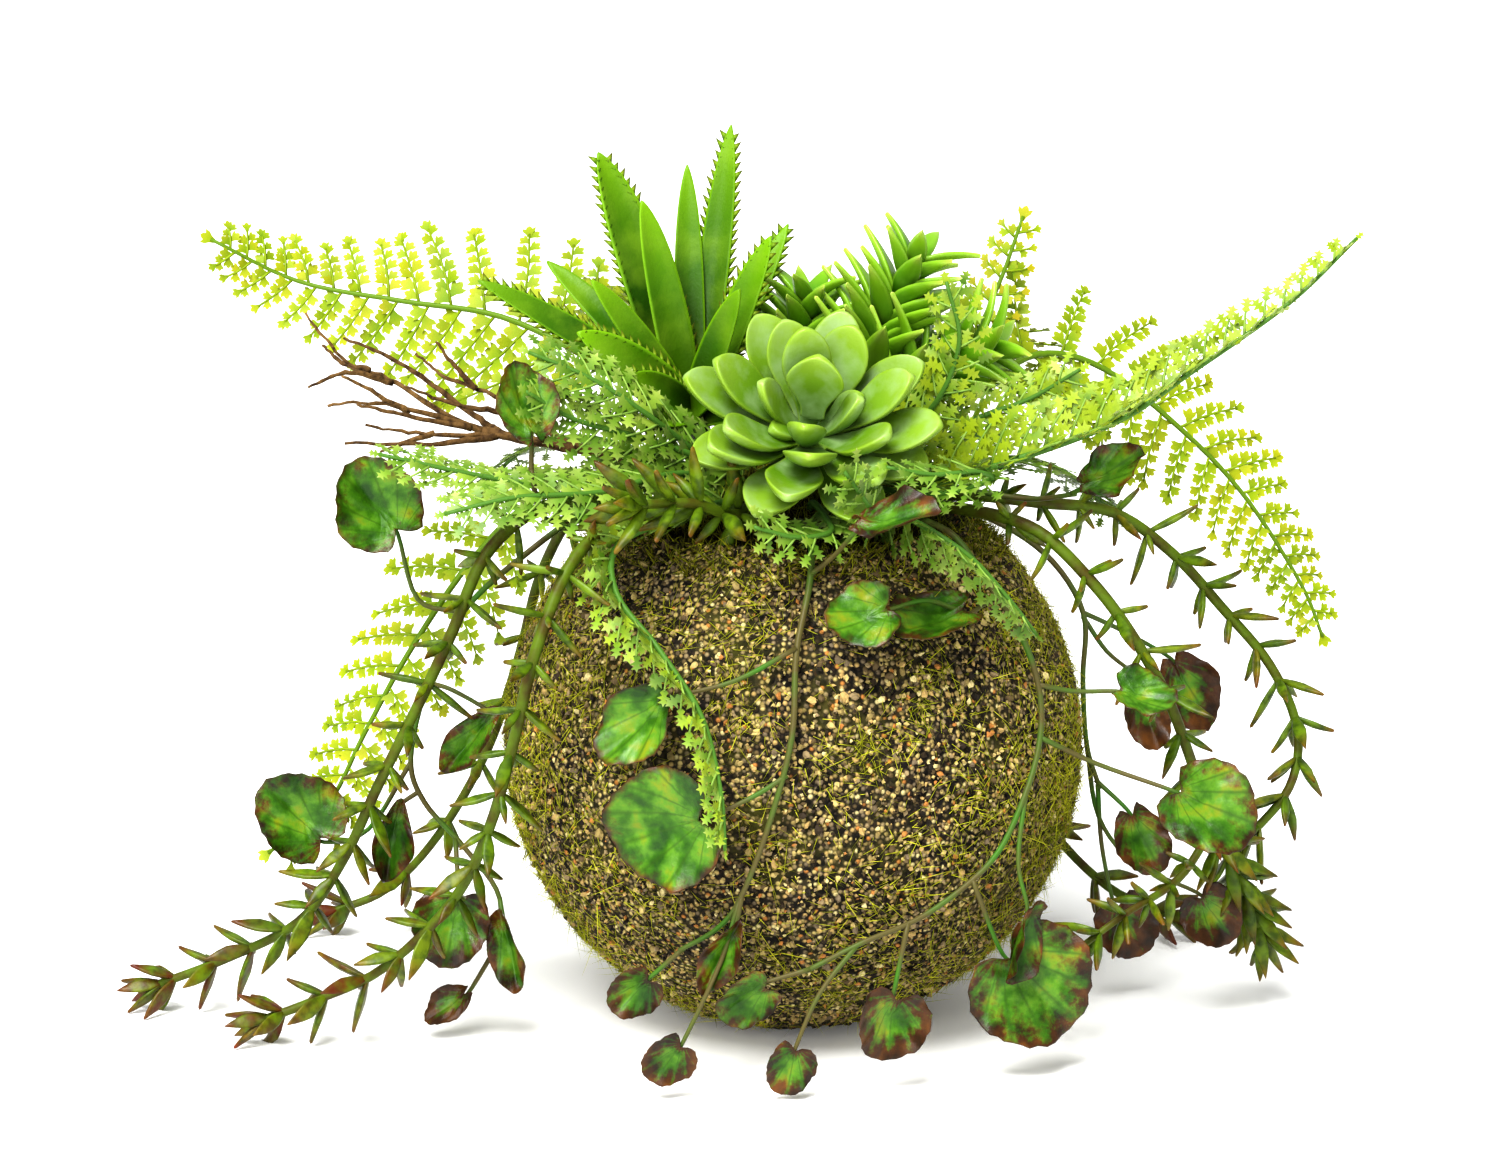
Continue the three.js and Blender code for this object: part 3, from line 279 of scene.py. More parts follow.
# The two kinds of frond. Leaflets grow with the reach of their pinna, from the least size.
# Rooms are between pinnae in millimetres, and between leaflets as a share of their size.
# The crowding draws pinnae together towards the frond's tip.
YELLOW_KIND = dict(leaflet=ARROW_LEAFLET, pinna_room=7.0, crowding=0.45, spread=70, sweep=0.7,
                   least=2.3, gain=0.075, leaflet_room=0.78, rib=0.38)
PALE_KIND = dict(leaflet=TOOTHED_LEAFLET, pinna_room=5.8, crowding=0.15, spread=56, sweep=0.85,
                 least=3.5, gain=0.17, leaflet_room=0.54, rib=0.36)


def round_form(around, along):
    """A ball's corners as the share from root to tip and the two parts of the unit section."""
    bm = bmesh.new()
    bmesh.ops.create_uvsphere(bm, u_segments=around, v_segments=along, radius=1)
    corners, faces = shape_of(bm)
    radius = np.hypot(corners[:, 0], corners[:, 1])
    safe = np.where(radius < 1e-6, 1, radius)
    wide = np.where(radius < 1e-6, 0, corners[:, 0] / safe)
    high = np.where(radius < 1e-6, 0, corners[:, 1] / safe)
    return (corners[:, 2] + 1) / 2, wide, high, radius, faces


def cone_shape(sides):
    """A spike of unit length along +X, with its base at the origin."""
    bm = bmesh.new()
    bmesh.ops.create_cone(bm, cap_ends=True, segments=sides, radius1=1, radius2=0, depth=1)
    bmesh.ops.translate(bm, verts=bm.verts, vec=(0, 0, 0.5))
    bmesh.ops.rotate(bm, verts=bm.verts, matrix=Matrix.Rotation(math.pi / 2, 3, "Y"))
    return shape_of(bm)


def grain_shape():
    """An angular grain of grit."""
    bm = bmesh.new()
    bmesh.ops.create_icosphere(bm, subdivisions=1, radius=1)
    for vert in bm.verts:
        vert.co *= 0.6 + 0.75 * draw.random()
    return shape_of(bm)


def sand_shape():
    """A small angular grain with eight faces."""
    bm = bmesh.new()
    bmesh.ops.create_uvsphere(bm, u_segments=4, v_segments=2, radius=1)
    for vert in bm.verts:
        vert.co *= 0.75 + 0.6 * draw.random()
    return shape_of(bm)


class Arc:
    """The bend of one leaf from its root to its tip, away from its face."""

    def __init__(self, root, tip, face, bend=0.0):
        chord = tip - root
        self.root = root
        self.length = np.linalg.norm(chord)
        chord = chord / self.length
        upright = square_to(chord, face)
        half = bend / 2
        self.bend = bend
        self.start = chord * math.cos(half) + upright * math.sin(half)
        self.start_face = upright * math.cos(half) - chord * math.sin(half)
        self.radius = self.length / (2 * math.sin(half)) if bend else 0

    def lay(self, share, across, up):
        """World points for shares of the length and offsets across and up."""
        angle = self.bend * share
        cosine = np.cos(angle)[:, None]
        sine = np.sin(angle)[:, None]
        lift = self.start_face * cosine + self.start * sine
        side = np.cross(self.start * cosine - self.start_face * sine, lift)
        if self.bend:
            spine = self.root + self.radius * (self.start * sine - self.start_face * (1 - cosine))
        else:
            spine = self.root + self.start * (self.length * share)[:, None]
        return spine + side * across[:, None] + lift * up[:, None]


def petal_width(share):
    """Narrow at the root, widest past the middle, with a round tip that ends in a small point."""
    neck = 0.42 + 0.58 * ease(0.12, 0.7, share)
    tip = (1 - np.clip((share - 0.64) / 0.36, 0, 1) ** 2.2) ** 0.55
    return neck * tip * np.sqrt(np.clip(share / 0.05, 0, 1))


def lance_width(share):
    """Full before its middle, and tapering in a long curve to a sharp point."""
    root = 0.3 + 0.7 * np.clip(share / 0.3, 0, 1) ** 0.7
    return root * (1 - np.clip((share - 0.26) / 0.74, 0, 1) ** 1.7) * np.sqrt(np.clip(share / 0.03, 0, 1))


def boat_width(share):
    """Widest near the middle and pointed at its tip, like a small boat."""
    root = np.clip(share / 0.42, 0, 1) ** 0.6
    return root * (1 - np.clip((share - 0.4) / 0.6, 0, 1) ** 1.7)


def blade_width(share):
    """A tongue that stays broad far past its middle and then narrows to a sharp tip."""
    body = np.clip(0.7 + 0.9 * share, 0, 1) * np.clip(1 - share**4.2, 0, 1) ** 0.75
    return body * np.sqrt(np.clip(share / 0.04, 0, 1))


def fleshy_leaf(growth, form, arc, width, half_width, thickness, cup, **marks):
    """A closed leaf on an arc, with a section that is a cupped oval."""
    share, wide, high, _, faces = form
    breadth = half_width * width(share)
    swell = 0.45 + 0.55 * width(share)
    across = breadth * wide
    up = thickness * swell * high * (share > 0) * (share < 1) + cup * breadth * wide**2
    growth.add(arc.lay(share, across, up), faces, along=share, across=wide, **marks)


# The plants' routes, with each foot as a ring radius and an azimuth

YELLOW_FRONDS = [
    dict(foot=(19, 160), ripe=0.5, first=0.34, long=29, short=6, face=(0.1, -1, 0.35), route=[
        (-30, 12, 136), (-46, 16, 148), (-67, 26, 157), (-91, 33, 160), (-115, 38, 164), (-135, 36, 174)]),
    dict(foot=(24, 168), ripe=0.1, first=0.4, long=20, short=7, face=(-0.4, -1, 0.4), route=[
        (-40, 5, 124), (-58, 6, 118), (-73, 3, 104), (-87, -4, 84), (-97, -6, 66), (-106, -8, 49),
        (-119, -10, 39)]),
    dict(foot=(19, 30), ripe=0.35, first=0.3, long=25, short=6, face=(0.2, -1, 0.4), route=[
        (30, 12, 132), (42, 14, 141), (56, 20, 149), (72, 25, 145), (92, 28, 129), (106, 28, 114),
        (119, 28, 94), (124, 26, 82)]),
    dict(foot=(14, 60), ripe=0.8, first=0.42, long=10, short=5, face=(-0.1, -1, 0.3), route=[
        (24, 18, 136), (38, 20, 147), (47, 24, 164), (53, 28, 180)]),
    dict(foot=(19, 110), first=0.36, long=23, short=6, face=(0.3, 0.5, 1), route=[
        (-14, 34, 134), (-26, 52, 149), (-38, 72, 157), (-46, 90, 157), (-52, 104, 150)]),
    dict(foot=(19, 50), first=0.36, long=21, short=6, face=(0.2, 0.6, 1), route=[
        (20, 34, 134), (32, 52, 145), (46, 66, 148), (62, 78, 140), (74, 88, 126)]),
]

PALE_FRONDS = [
    dict(foot=(19, 200), first=0.2, long=13.5, short=6, face=(-0.1, -0.6, 1), route=[
        (-34, -20, 127), (-51, -30, 126), (-69, -33, 129), (-90, -36, 134)]),
    dict(foot=(19, 215), first=0.2, long=13, short=6, face=(-0.1, -0.8, 0.8), route=[
        (-27, -25, 128), (-42, -38, 126), (-60, -45, 126), (-75, -49, 123)]),
    dict(foot=(12, 200), first=0.08, long=15, short=6, face=(0, -0.8, 0.8), route=[
        (-20, -14, 130), (-31, -23, 140), (-44, -26, 149), (-58, -26, 155)]),
    dict(foot=(16, 225), first=0.08, long=15, short=6, face=(0.1, -0.9, 0.6), route=[
        (-22, -18, 131), (-34, -24, 136), (-48, -31, 141), (-58, -38, 148)]),
    dict(foot=(26, 240), ripe=0.85, first=0.14, long=10, short=4, face=(-1, -0.35, 0.1), fold=50, route=[
        (-24, -38, 121), (-38, -47, 116), (-38, -57, 107), (-29, -66, 97), (-20, -72, 84),
        (-16, -75, 69), (-15, -76, 56)]),
    dict(foot=(12, 330), ripe=1.0, first=0.26, long=10, short=5, face=(-0.2, -1, 0.2), route=[
        (17, -9, 131), (30, -16, 141), (36, -20, 156), (33, -22, 170)]),
    dict(foot=(19, 330), ripe=1.3, first=0.1, long=15, short=3, face=(-0.55, -0.5, 0.7), fold=50, route=[
        (30, -18, 125), (46, -28, 131), (70, -28, 140), (86, -24, 150), (108, -20, 165),
        (123, -17, 179)]),
    dict(foot=(22, 315), first=0.34, long=7, short=5, face=(0, -0.6, 1), route=[
        (29, -30, 124), (42, -40, 129), (38, -48, 132), (29, -52, 132), (19, -55, 134)]),
    dict(foot=(25, 278), first=0.34, long=8, short=5, face=(0, -1, 0.6), route=[
        (7, -40, 120), (7, -49, 119), (0, -55, 119), (-9, -60, 122)]),
    dict(foot=(25, 290), first=0.34, long=8, short=5, face=(0.2, -1, 0.2), route=[
        (14, -38, 121), (16, -52, 124), (10, -61, 134)]),
    dict(foot=(25, 302), first=0.26, long=10, short=4, face=(-0.6, -0.5, -0.6), fold=45, route=[
        (22, -37, 121), (29, -46, 119), (38, -49, 113), (46, -48, 104), (52, -45, 96)]),
    dict(foot=(18, 345), ripe=1.0, first=0.24, long=12, short=6, face=(-0.3, -1, 0.6), route=[
        (28, -8, 130), (40, -10, 138), (52, -13, 143), (63, -16, 150)]),
    dict(foot=(24, 150), first=0.2, long=13, short=6, face=(-0.4, 0.4, 1), route=[
        (-34, 22, 126), (-50, 34, 128), (-64, 44, 123), (-74, 52, 112)]),
    dict(foot=(24, 85), first=0.2, long=13, short=6, face=(0, 0.5, 1), route=[
        (6, 40, 125), (10, 56, 127), (15, 70, 121), (18, 80, 110)]),
    dict(foot=(24, 22), first=0.2, long=13, short=6, face=(0.4, 0.3, 1), route=[
        (38, 16, 124), (54, 26, 124), (68, 36, 117), (78, 44, 106)]),
]

SEDUMS = [
    dict(foot=(30, 192), whorls=14, first=0.2, route=[
        (-43, -13, 121), (-57, -19, 119), (-68, -26, 110), (-75, -28, 94), (-82, -28, 79),
        (-92, -27, 59), (-101, -22, 40), (-112, -14, 24), (-130, -6, 13), (-147, -4, 6)]),
    dict(foot=(30, 215), whorls=14, first=0.2, route=[
        (-35, -34, 121), (-47, -51, 114), (-55, -60, 96), (-60, -59, 76), (-66, -52, 55),
        (-75, -42, 36), (-91, -35, 19), (-106, -32, 11), (-119, -32, 6)]),
    dict(foot=(27, 250), whorls=5, first=0.3, oldest=0.45, leaf_length=15, plump=1.35, route=[
        (-14, -38, 121), (-22, -47, 125), (-33, -55, 126)]),
    dict(foot=(30, 5), whorls=12, first=0.2, oldest=0.6, route=[
        (40, 3, 119), (56, 5, 117), (73, 10, 114), (87, 14, 104), (99, 14, 91), (110, 12, 78),
        (116, 8, 64), (114, 4, 51), (104, 2, 39)]),
    dict(foot=(30, 340), whorls=11, first=0.22, end_cluster=3, oldest=0.6, route=[
        (39, -19, 119), (53, -28, 116), (65, -31, 105), (74, -30, 93), (82, -28, 79), (88, -24, 64),
        (93, -17, 49), (100, -9, 35), (107, 1, 20), (109, 5, 13)],
        branch=[(94, -16, 46), (86, -22, 36), (73, -31, 30), (61, -35, 22)]),
    dict(foot=(30, 140), whorls=8, first=0.24, route=[
        (-36, 34, 119), (-50, 47, 110), (-60, 56, 92), (-66, 59, 70), (-74, 60, 47), (-86, 61, 26),
        (-99, 62, 12), (-113, 62, 6)]),
    dict(foot=(30, 60), whorls=8, first=0.24, route=[
        (24, 42, 119), (35, 58, 109), (41, 66, 91), (45, 68, 70), (51, 66, 48), (63, 63, 28),
        (78, 60, 13), (94, 58, 6)]),
]

# Each leaf of a vine is the points of its petiole, its tip, its face where that isn't outward,
# its width as a share of a round leaf's, and how much redder than its neighbours some are
VINES = [
    dict(foot=(30, 270), route=[
        (3, -42, 118), (3, -51, 109), (0, -60, 95), (-1, -66, 78), (-6, -68, 59), (-12, -67, 43),
        (-17, -65, 36), (-25, -64, 31)],
        leaves=[
            ([(-2, -67, 70), (-9, -69, 66), (-18, -70, 62)], (-38, -62, 56), None, 1.12),
            ([(0, -60, 96), (-13, -65, 90), (-27, -64, 86)], (-40, -62, 73), None, 0.8),
            ([(-24, -64, 31.5), (-31, -63, 25)], (-39, -63, 18), None, 1),
            ([(-11.5, -67, 44), (-13, -68, 37)], (-20, -67, 23), None, 0.5),
            ([(-12, -67, 43), (-16, -69, 30), (-24, -71, 13)], (-31, -70, 5), None, 1),
            ([(3, -50, 110), (8, -55, 115), (13, -63, 122)], (29, -67, 126), (0, -0.5, 1), 0.8, 0.3)]),
    dict(foot=(30, 312), route=[
        (33, -34, 117), (42, -42, 106), (49, -41, 95), (53, -40, 83), (53, -43, 72), (49, -49, 60),
        (42, -54, 48), (28, -60, 38), (14, -65, 33), (2, -66, 27)],
        leaves=[
            ([(3, -66, 27.5), (-6, -67, 25)], (-16, -67, 18), None, 1),
            ([(13, -65, 32.5), (5, -69, 23), (0, -71, 12)], (-3, -70, 2), None, 1),
            ([(24, -61.7, 36.5), (21, -64, 22)], (18, -65, 8), None, 1.15),
            ([(38, -56, 44.5), (44, -54, 29)], (59, -52, 11), None, 1.1, -0.1),
            ([(50, -47.5, 63), (48, -53, 48), (50, -55, 38)], (45, -57, 22), None, 0.5),
            ([(53, -40, 84), (61, -37, 82), (70, -37, 82)], (82, -39, 79), None, 1),
            ([(53, -42.7, 73), (66, -38, 66), (82, -42, 61)], (99, -43, 52), (0.1, -1, 0.4), 1),
            ([(43, -42, 104), (37, -48, 101)], (20, -60, 99), (0.1, -0.5, 1), 0.8, 0.05),
            ([(37, -48, 101), (28, -53, 105), (20, -58, 104)], (7, -62, 100), (0, -0.8, 0.6), 1, 0.05)]),
    dict(foot=(30, 352), ruddy=1.0, route=[
        (42, -6, 116), (57, 0, 106), (66, 3, 92), (66, 1, 77), (67, 0, 62), (70, -2, 52)],
        leaves=[
            ([(69, -1.5, 54), (76, -6, 48)], (82, -8, 34), (0.1, -1, 0.3), 0.8),
            ([(67, 0, 62), (70, 1, 45), (78, -3, 35), (92, -7, 29)], (99, -8, 18), (0, -1, 0.2), 1),
            ([(69.5, -1.8, 53), (71, 3, 38), (74, 6, 24)], (80, 8, 11), (0.2, -1, 0.2), 1),
            ([(66, 3, 91), (72, 8, 82), (79, 9, 76)], (83, 8, 60), (0.2, -1, 0.1), 0.7),
            ([(66, 3, 92), (76, 12, 86), (88, 20, 78)], (96, 19, 62), (0.2, -1, 0.2), 0.8)]),
    dict(foot=(30, 178), ruddy=0.68, route=[
        (-45, -4, 117), (-61, -11, 107), (-74, -13, 95), (-82, -13, 79), (-86, -14, 62),
        (-83, -15, 52), (-74, -17, 42), (-66, -20, 31), (-68, -22, 18)],
        leaves=[
            ([(-67.5, -22, 19), (-73, -23, 10)], (-82, -24, 4), (0, -1, 0.8), 0.75),
            ([(-74, -13, 95), (-84, -13, 98), (-88, -15, 113)], (-99, -17, 128), (0, -1, 0.5), 1),
            ([(-86, -14, 61), (-96, -12, 45), (-106, -12, 42)], (-118, -13, 56), (0.1, -1, 0.3), 1),
            ([(-84, -14.5, 54.5), (-89, -16, 51)], (-92, -17, 34), (0.2, -1, 0.1), 0.5),
            ([(-82, -13, 79), (-76, -17, 78), (-67, -20, 73)], (-78, -20, 60), (-0.3, -1, 0.1), 0.5),
            ([(-66, -20, 31), (-65, -23, 27)], (-61, -25, 11), (-0.4, -1, 0.1), 0.5),
            ([(-76, -16.6, 44), (-75, -24, 33)], (-79, -28, 18), (0.1, -1, 0.2), 1)]),
    dict(foot=(30, 203), ruddy=0.66, route=[(-42, -22, 118), (-54, -37, 120), (-57, -38, 131)],
         leaves=[([(-57, -38, 130), (-57, -37, 137)], (-61, -34, 153), (0.5, -1, 0.2), 0.8)]),
    dict(foot=(24, 355), ruddy=0.62, route=[(38, -9, 122), (52, -15, 121), (62, -21, 123)],
         leaves=[([(61, -20.5, 123), (64, -23, 125)], (76, -28, 132), (-0.2, -1, 0.8), 0.8)]),
    dict(foot=(30, 115), route=[(-19, 42, 118), (-28, 56, 104), (-32, 63, 84), (-30, 66, 62)],
         leaves=[
             ([(-30, 66, 63), (-32, 66, 46)], (-35, 63, 28), None, 1),
             ([(-32, 63, 85), (-42, 62, 78)], (-54, 56, 66), None, 1),
             ([(-29, 57.5, 102), (-21, 66, 90)], (-13, 70, 76), None, 1)]),
    dict(foot=(30, 80), route=[(8, 43, 118), (11, 58, 104), (14, 68, 84), (10, 70, 62), (4, 69, 42)],
         leaves=[
             ([(4, 69, 43), (2, 68, 34)], (-2, 64, 18), None, 1),
             ([(10.5, 70, 64), (18, 71, 54)], (28, 67, 40), None, 1),
             ([(14, 68, 85), (22, 69, 82)], (35, 68, 78), None, 1)]),
]

FINGER_STEMS = [
    dict(foot=(10, 45), whorls=10, first=0.44, route=[(14, 8, 140), (20, 8, 157), (27, 9, 171)]),
    dict(foot=(12, 90), whorls=8, first=0.48, route=[(1, 14, 142), (3, 14, 161)]),
    dict(foot=(14, 15), whorls=8, first=0.5, route=[(21, 4, 135), (30, 3, 147), (43, 3, 152)]),
]

ALOE_FOOT = (18, 175)
ALOE_HEART = np.array([-23.0, 2.0, 138.0])
ALOE_STALK = [(-21.5, 2, 130), ALOE_HEART]
# Each aloe leaf is its tip, half width, whether its edges are toothed, and its bend in degrees
ALOE_LEAVES = [
    ((-44, 10, 196), 7.2, True, 6),
    ((-34, 0, 186), 4.6, False, 4),
    ((-24, 14, 193), 3.6, False, -6),
    ((-14, 14, 202), 4.4, True, -14),
    ((-5, 1, 178), 4.8, True, -10),
    ((-1, 20, 179), 3.8, True, -10),
    ((-12, -8, 167), 3.8, False, 8),
    ((-70, -10, 169), 3.9, True, 26),
    ((-56, 14, 171), 3.6, False, 18),
    ((-45, -8, 169), 3.6, False, 10),
    ((-48, -14, 158), 5.8, True, 24),
    ((-38, 32, 178), 4.6, True, 12),
    ((-20, 34, 172), 4.2, False, 14),
    ((-56, 28, 158), 4.2, True, 22),
    ((-36, -18, 149), 4.4, True, 20),
    ((-12, -20, 150), 4.2, False, 14),
    ((-42, 12, 150), 4.4, False, 24),
    ((-12, 28, 156), 4.2, False, 18),
    ((-30, -20, 138), 4.6, False, 16),
    ((-8, -14, 141), 4.6, False, 10),
]

ROSETTE_FOOT = (13, 285)
ROSETTE_HEART = np.array([3.4, -28.0, 137.0])
ROSETTE_STALK = [(3.4, -20, 129), ROSETTE_HEART]
ROSETTE_AXIS = unit(np.array([0.03, -0.66, 0.75]))
ROSETTE_LAYERS = [
    dict(count=4, lean=5, length=29, half_width=6.6, turn=203, sweep=180),
    dict(count=8, lean=24, length=31, half_width=6.5, turn=30, sweep=360),
    dict(count=7, lean=38, length=27, half_width=6.0, turn=8, sweep=360),
    dict(count=4, lean=52, length=19, half_width=4.2, turn=-12, sweep=360),
]
# The heart's own leaves: a tall one behind, a cupped one before it, and three bracts below
ROSETTE_HEART_LEAVES = [
    dict(azimuth=100, lean=62, length=25, half_width=5.6, cup=0.2),
    dict(azimuth=80, lean=72, length=17, half_width=6.4, cup=0.42, rise=4),
    dict(azimuth=20, lean=40, length=15, half_width=3.2, cup=0.4),
    dict(azimuth=205, lean=34, length=12, half_width=3.0, cup=0.4),
    dict(azimuth=272, lean=22, length=9, half_width=3.2, cup=0.2),
]

TWIG_FOOT = (24, 183)
TWIG_TRUNK = [(-38, -1, 128), (-56, -3, 132), (-70, -1, 134)]
TWIG_BRANCHES = [
    [(-66, -1, 134), (-75, 0, 136), (-91, 0, 146), (-100, -2, 150), (-109, -4, 161)],
    [(-90, 0, 145), (-100, -5, 148), (-108, -8, 145)],
    [(-66, -1, 134), (-72, 4, 137), (-88, 8, 148), (-102, 10, 154)],
    [(-68, -1, 134), (-91, -6, 141), (-104, -8, 141)],
    [(-86, -5, 139), (-95, -9, 145), (-100, -12, 148)],
    [(-50, -2, 131), (-66, 8, 140), (-79, 12, 145), (-86, 14, 150)],
    [(-52, -3, 131), (-66, -8, 134), (-84, -10, 135), (-95, -12, 137)],
    [(-66, -8, 134), (-80, -13, 133), (-99, -18, 134)],
    [(-72, 9, 142.5), (-77, 9, 148), (-81, 10, 153)],
    [(-60, 4, 137), (-74, -2, 140), (-87, -6, 145)],
    [(-72, -6, 135.5), (-86, -10, 139), (-97, -14, 142)],
    [(-80, -9.5, 135), (-92, -12, 131)],
    [(-95, -1.5, 148), (-101, 2, 149), (-106, 4, 153)],
]


# Finishes

# Sockets and outputs that go by number, because others on their node share the name
FIRST, SECOND = 0, 1
SHARE, UNDER, OVER, MIXED = 0, 6, 7, 2
FROM_LOW, FROM_HIGH, TO_LOW, TO_HIGH = 1, 2, 3, 4


def linear(hex_colour):
    """An sRGB hex colour as linear red, green, blue and alpha."""
    parts = [int(hex_colour[i : i + 2], 16) / 255 for i in (1, 3, 5)]
    return (*[p / 12.92 if p <= 0.04045 else ((p + 0.055) / 1.055) ** 2.4 for p in parts], 1)


def per_metre(size_mm):
    """The scale of a pattern whose features are that many millimetres apart."""
    return 1 / (size_mm * MM)


def add_node(material, kind, inputs=None, output=0, stops=(), steps="LINEAR", **settings):
    """Adds a shader node with its settings, ramp stops and input values or links.

    It gives back the output that is read from the node.
    """
    node = material.node_tree.nodes.new("ShaderNode" + kind)
    for name, value in settings.items():
        setattr(node, name, value)
    if stops:
        ramp = node.color_ramp
        ramp.interpolation = steps
        while len(ramp.elements) < len(stops):
            ramp.elements.new(1)
        for element, (position, colour) in zip(ramp.elements, stops):
            element.position = position
            element.color = linear(colour)
    for socket, value in (inputs or {}).items():
        if isinstance(value, bpy.types.NodeSocket):
            material.node_tree.links.new(value, node.inputs[socket])
        else:
            node.inputs[socket].default_value = value
    return node.outputs[output]


def new_material(name):
    """A material, and the function that adds a node to it."""
    material = bpy.data.materials.new(name)
    material.use_nodes = True
    return material, partial(add_node, material)


def finish_with(material, colour, bump_height=None, bump_mm=0.1, gloss=0.2, roughness=0.5):
    """Sets the shader's own values and links its colour and bump."""
    links = material.node_tree.links
    bsdf = material.node_tree.nodes["Principled BSDF"]
    links.new(colour, bsdf.inputs["Base Color"])
    bsdf.inputs["Specular IOR Level"].default_value = gloss
    bsdf.inputs["Roughness"].default_value = roughness
    if bump_height is not None:
        bump = add_node(material, "Bump", {"Height": bump_height, "Distance": bump_mm * MM})
        links.new(bump, bsdf.inputs["Normal"])
    return material


def leaf_finish(name, along, tones, tone_share, mottle=None, mottle_mm=4, mottle_share=0.4, edge=None,
                aged=None, aged_share=0, bump_mm=0.08, grain_mm=1.2, gloss=0.2, roughness=0.5):
    """A leaf whose colour runs from root to tip, differs from leaf to leaf and is mottled.

    Its edge may have a colour of its own, and so may its patches where the age mark is high.
    """
    material, add = new_material(name)
    place = add("TexCoord", output="Object")
    lengthwise = add("Attribute", output="Fac", attribute_name="along")
    run = add("ValToRGB", {"Fac": lengthwise}, stops=along)
    each = add("Attribute", output="Fac", attribute_name="tone")
    tone = add("ValToRGB", {"Fac": each}, stops=tones)
    colour = add("Mix", {SHARE: tone_share, UNDER: run, OVER: tone}, MIXED, data_type="RGBA")
    if mottle:
        cloud = add("TexNoise", {"Vector": place, "Scale": per_metre(mottle_mm), "Detail": 4.0})
        patch = add("MapRange", {"Value": cloud, FROM_LOW: 0.42, FROM_HIGH: 0.68, TO_HIGH: mottle_share})
        colour = add("Mix", {SHARE: patch, UNDER: colour, OVER: linear(mottle)}, MIXED, data_type="RGBA")
    if edge:
        crosswise = add("Attribute", output="Fac", attribute_name="across")
        side = add("Math", {FIRST: crosswise}, operation="ABSOLUTE")
        rim = add("MapRange", {"Value": side, FROM_LOW: 0.82, FROM_HIGH: 1.0, TO_HIGH: 0.75})
        colour = add("Mix", {SHARE: rim, UNDER: colour, OVER: linear(edge)}, MIXED, data_type="RGBA")
    if aged:
        age = add("Attribute", output="Fac", attribute_name="age")
        cloud = add("TexNoise", {"Vector": place, "Scale": per_metre(4), "Detail": 4.0})
        ripe = add("Math", {FIRST: age, SECOND: cloud}, operation="MULTIPLY")
        patch = add("MapRange", {"Value": ripe, FROM_LOW: 0.28, FROM_HIGH: 0.62, TO_HIGH: aged_share})
        colour = add("Mix", {SHARE: patch, UNDER: colour, OVER: linear(aged)}, MIXED, data_type="RGBA")
    grain = add("TexNoise", {"Vector": place, "Scale": per_metre(grain_mm), "Detail": 3.0})
    return finish_with(material, colour, grain, bump_mm, gloss, roughness)


def yellow_fern_leaflet():
    """Thin young frond, lime to amber, with a soft satin face."""
    return leaf_finish(
        "yellow_fern_leaflet",
        along=[(0, "#64800a"), (0.5, "#84960c"), (1, "#a8aa28")],
        tones=[(0, "#54780a"), (0.5, "#80940c"), (1, "#a29e18")],
        tone_share=0.5, mottle="#968408", mottle_mm=9, mottle_share=0.25,
        aged="#a8880c", aged_share=0.6)


def pale_fern_leaflet():
    """Fresh green frond, cream towards each tip, with a waxy face and yellow patches."""
    return leaf_finish(
        "pale_fern_leaflet",
        along=[(0, "#46680e"), (0.4, "#71922c"), (0.8, "#9cae54"), (1, "#c4c888")],
        tones=[(0, "#305806"), (0.5, "#6c8e28"), (1, "#a0b048")],
        tone_share=0.5, mottle="#2c5008", mottle_mm=14, mottle_share=0.5,
        aged="#98a81c", aged_share=0.75, gloss=0.3, roughness=0.4)


def fern_rachis(name, stalk, rib):
    """Smooth frond stalk, paler in its side ribs."""
    return leaf_finish(
        name, along=[(0, stalk), (1, stalk)], tones=[(0, stalk), (0.3, stalk), (0.8, rib), (1, rib)],
        tone_share=1, mottle=stalk, mottle_mm=8, mottle_share=0.5, roughness=0.45)


def rosette_petal():
    """Fleshy apple-green petal with a powdery bloom and a yellow-green rim, darkened towards its root as
    painted shade in the heart.
    """
    return leaf_finish(
        "rosette_petal",
        # The dark root of the run is painted shade where the petals crowd into the heart
        along=[(0, "#1c3c00"), (0.3, "#3c6402"), (0.65, "#678c18"), (1, "#92ae3a")],
        tones=[(0, "#48720c"), (1, "#7e9a34")],
        tone_share=0.35, mottle="#90a878", mottle_mm=6, mottle_share=0.6, edge="#7c9a24",
        bump_mm=0.05, grain_mm=0.8, gloss=0.3, roughness=0.36)


def aloe_blade():
    """Firm green blade with a satin skin, nearly black at its base as painted shade, and clouded with pale
    patches that are wax bloom and a painted sheen.
    """
    return leaf_finish(
        "aloe_blade",
        # The near-black root of the run is painted shade; the pale mottle is wax bloom and a painted sheen
        along=[(0, "#061400"), (0.3, "#102c00"), (0.6, "#346200"), (1, "#7ca806")],
        tones=[(0, "#1c4400"), (1, "#608e04")],
        tone_share=0.45, mottle="#7c9c24", mottle_mm=9, edge="#7cac14",
        grain_mm=0.9, gloss=0.18, roughness=0.4)


def aloe_tooth():
    """Horny saw tooth, green with a brown tip."""
    return leaf_finish(
        "aloe_tooth",
        along=[(0, "#4c7c08"), (0.5, "#748c18"), (1, "#4c3410")], tones=[(0, "#5c8410"), (1, "#747814")],
        tone_share=0.3, roughness=0.45)


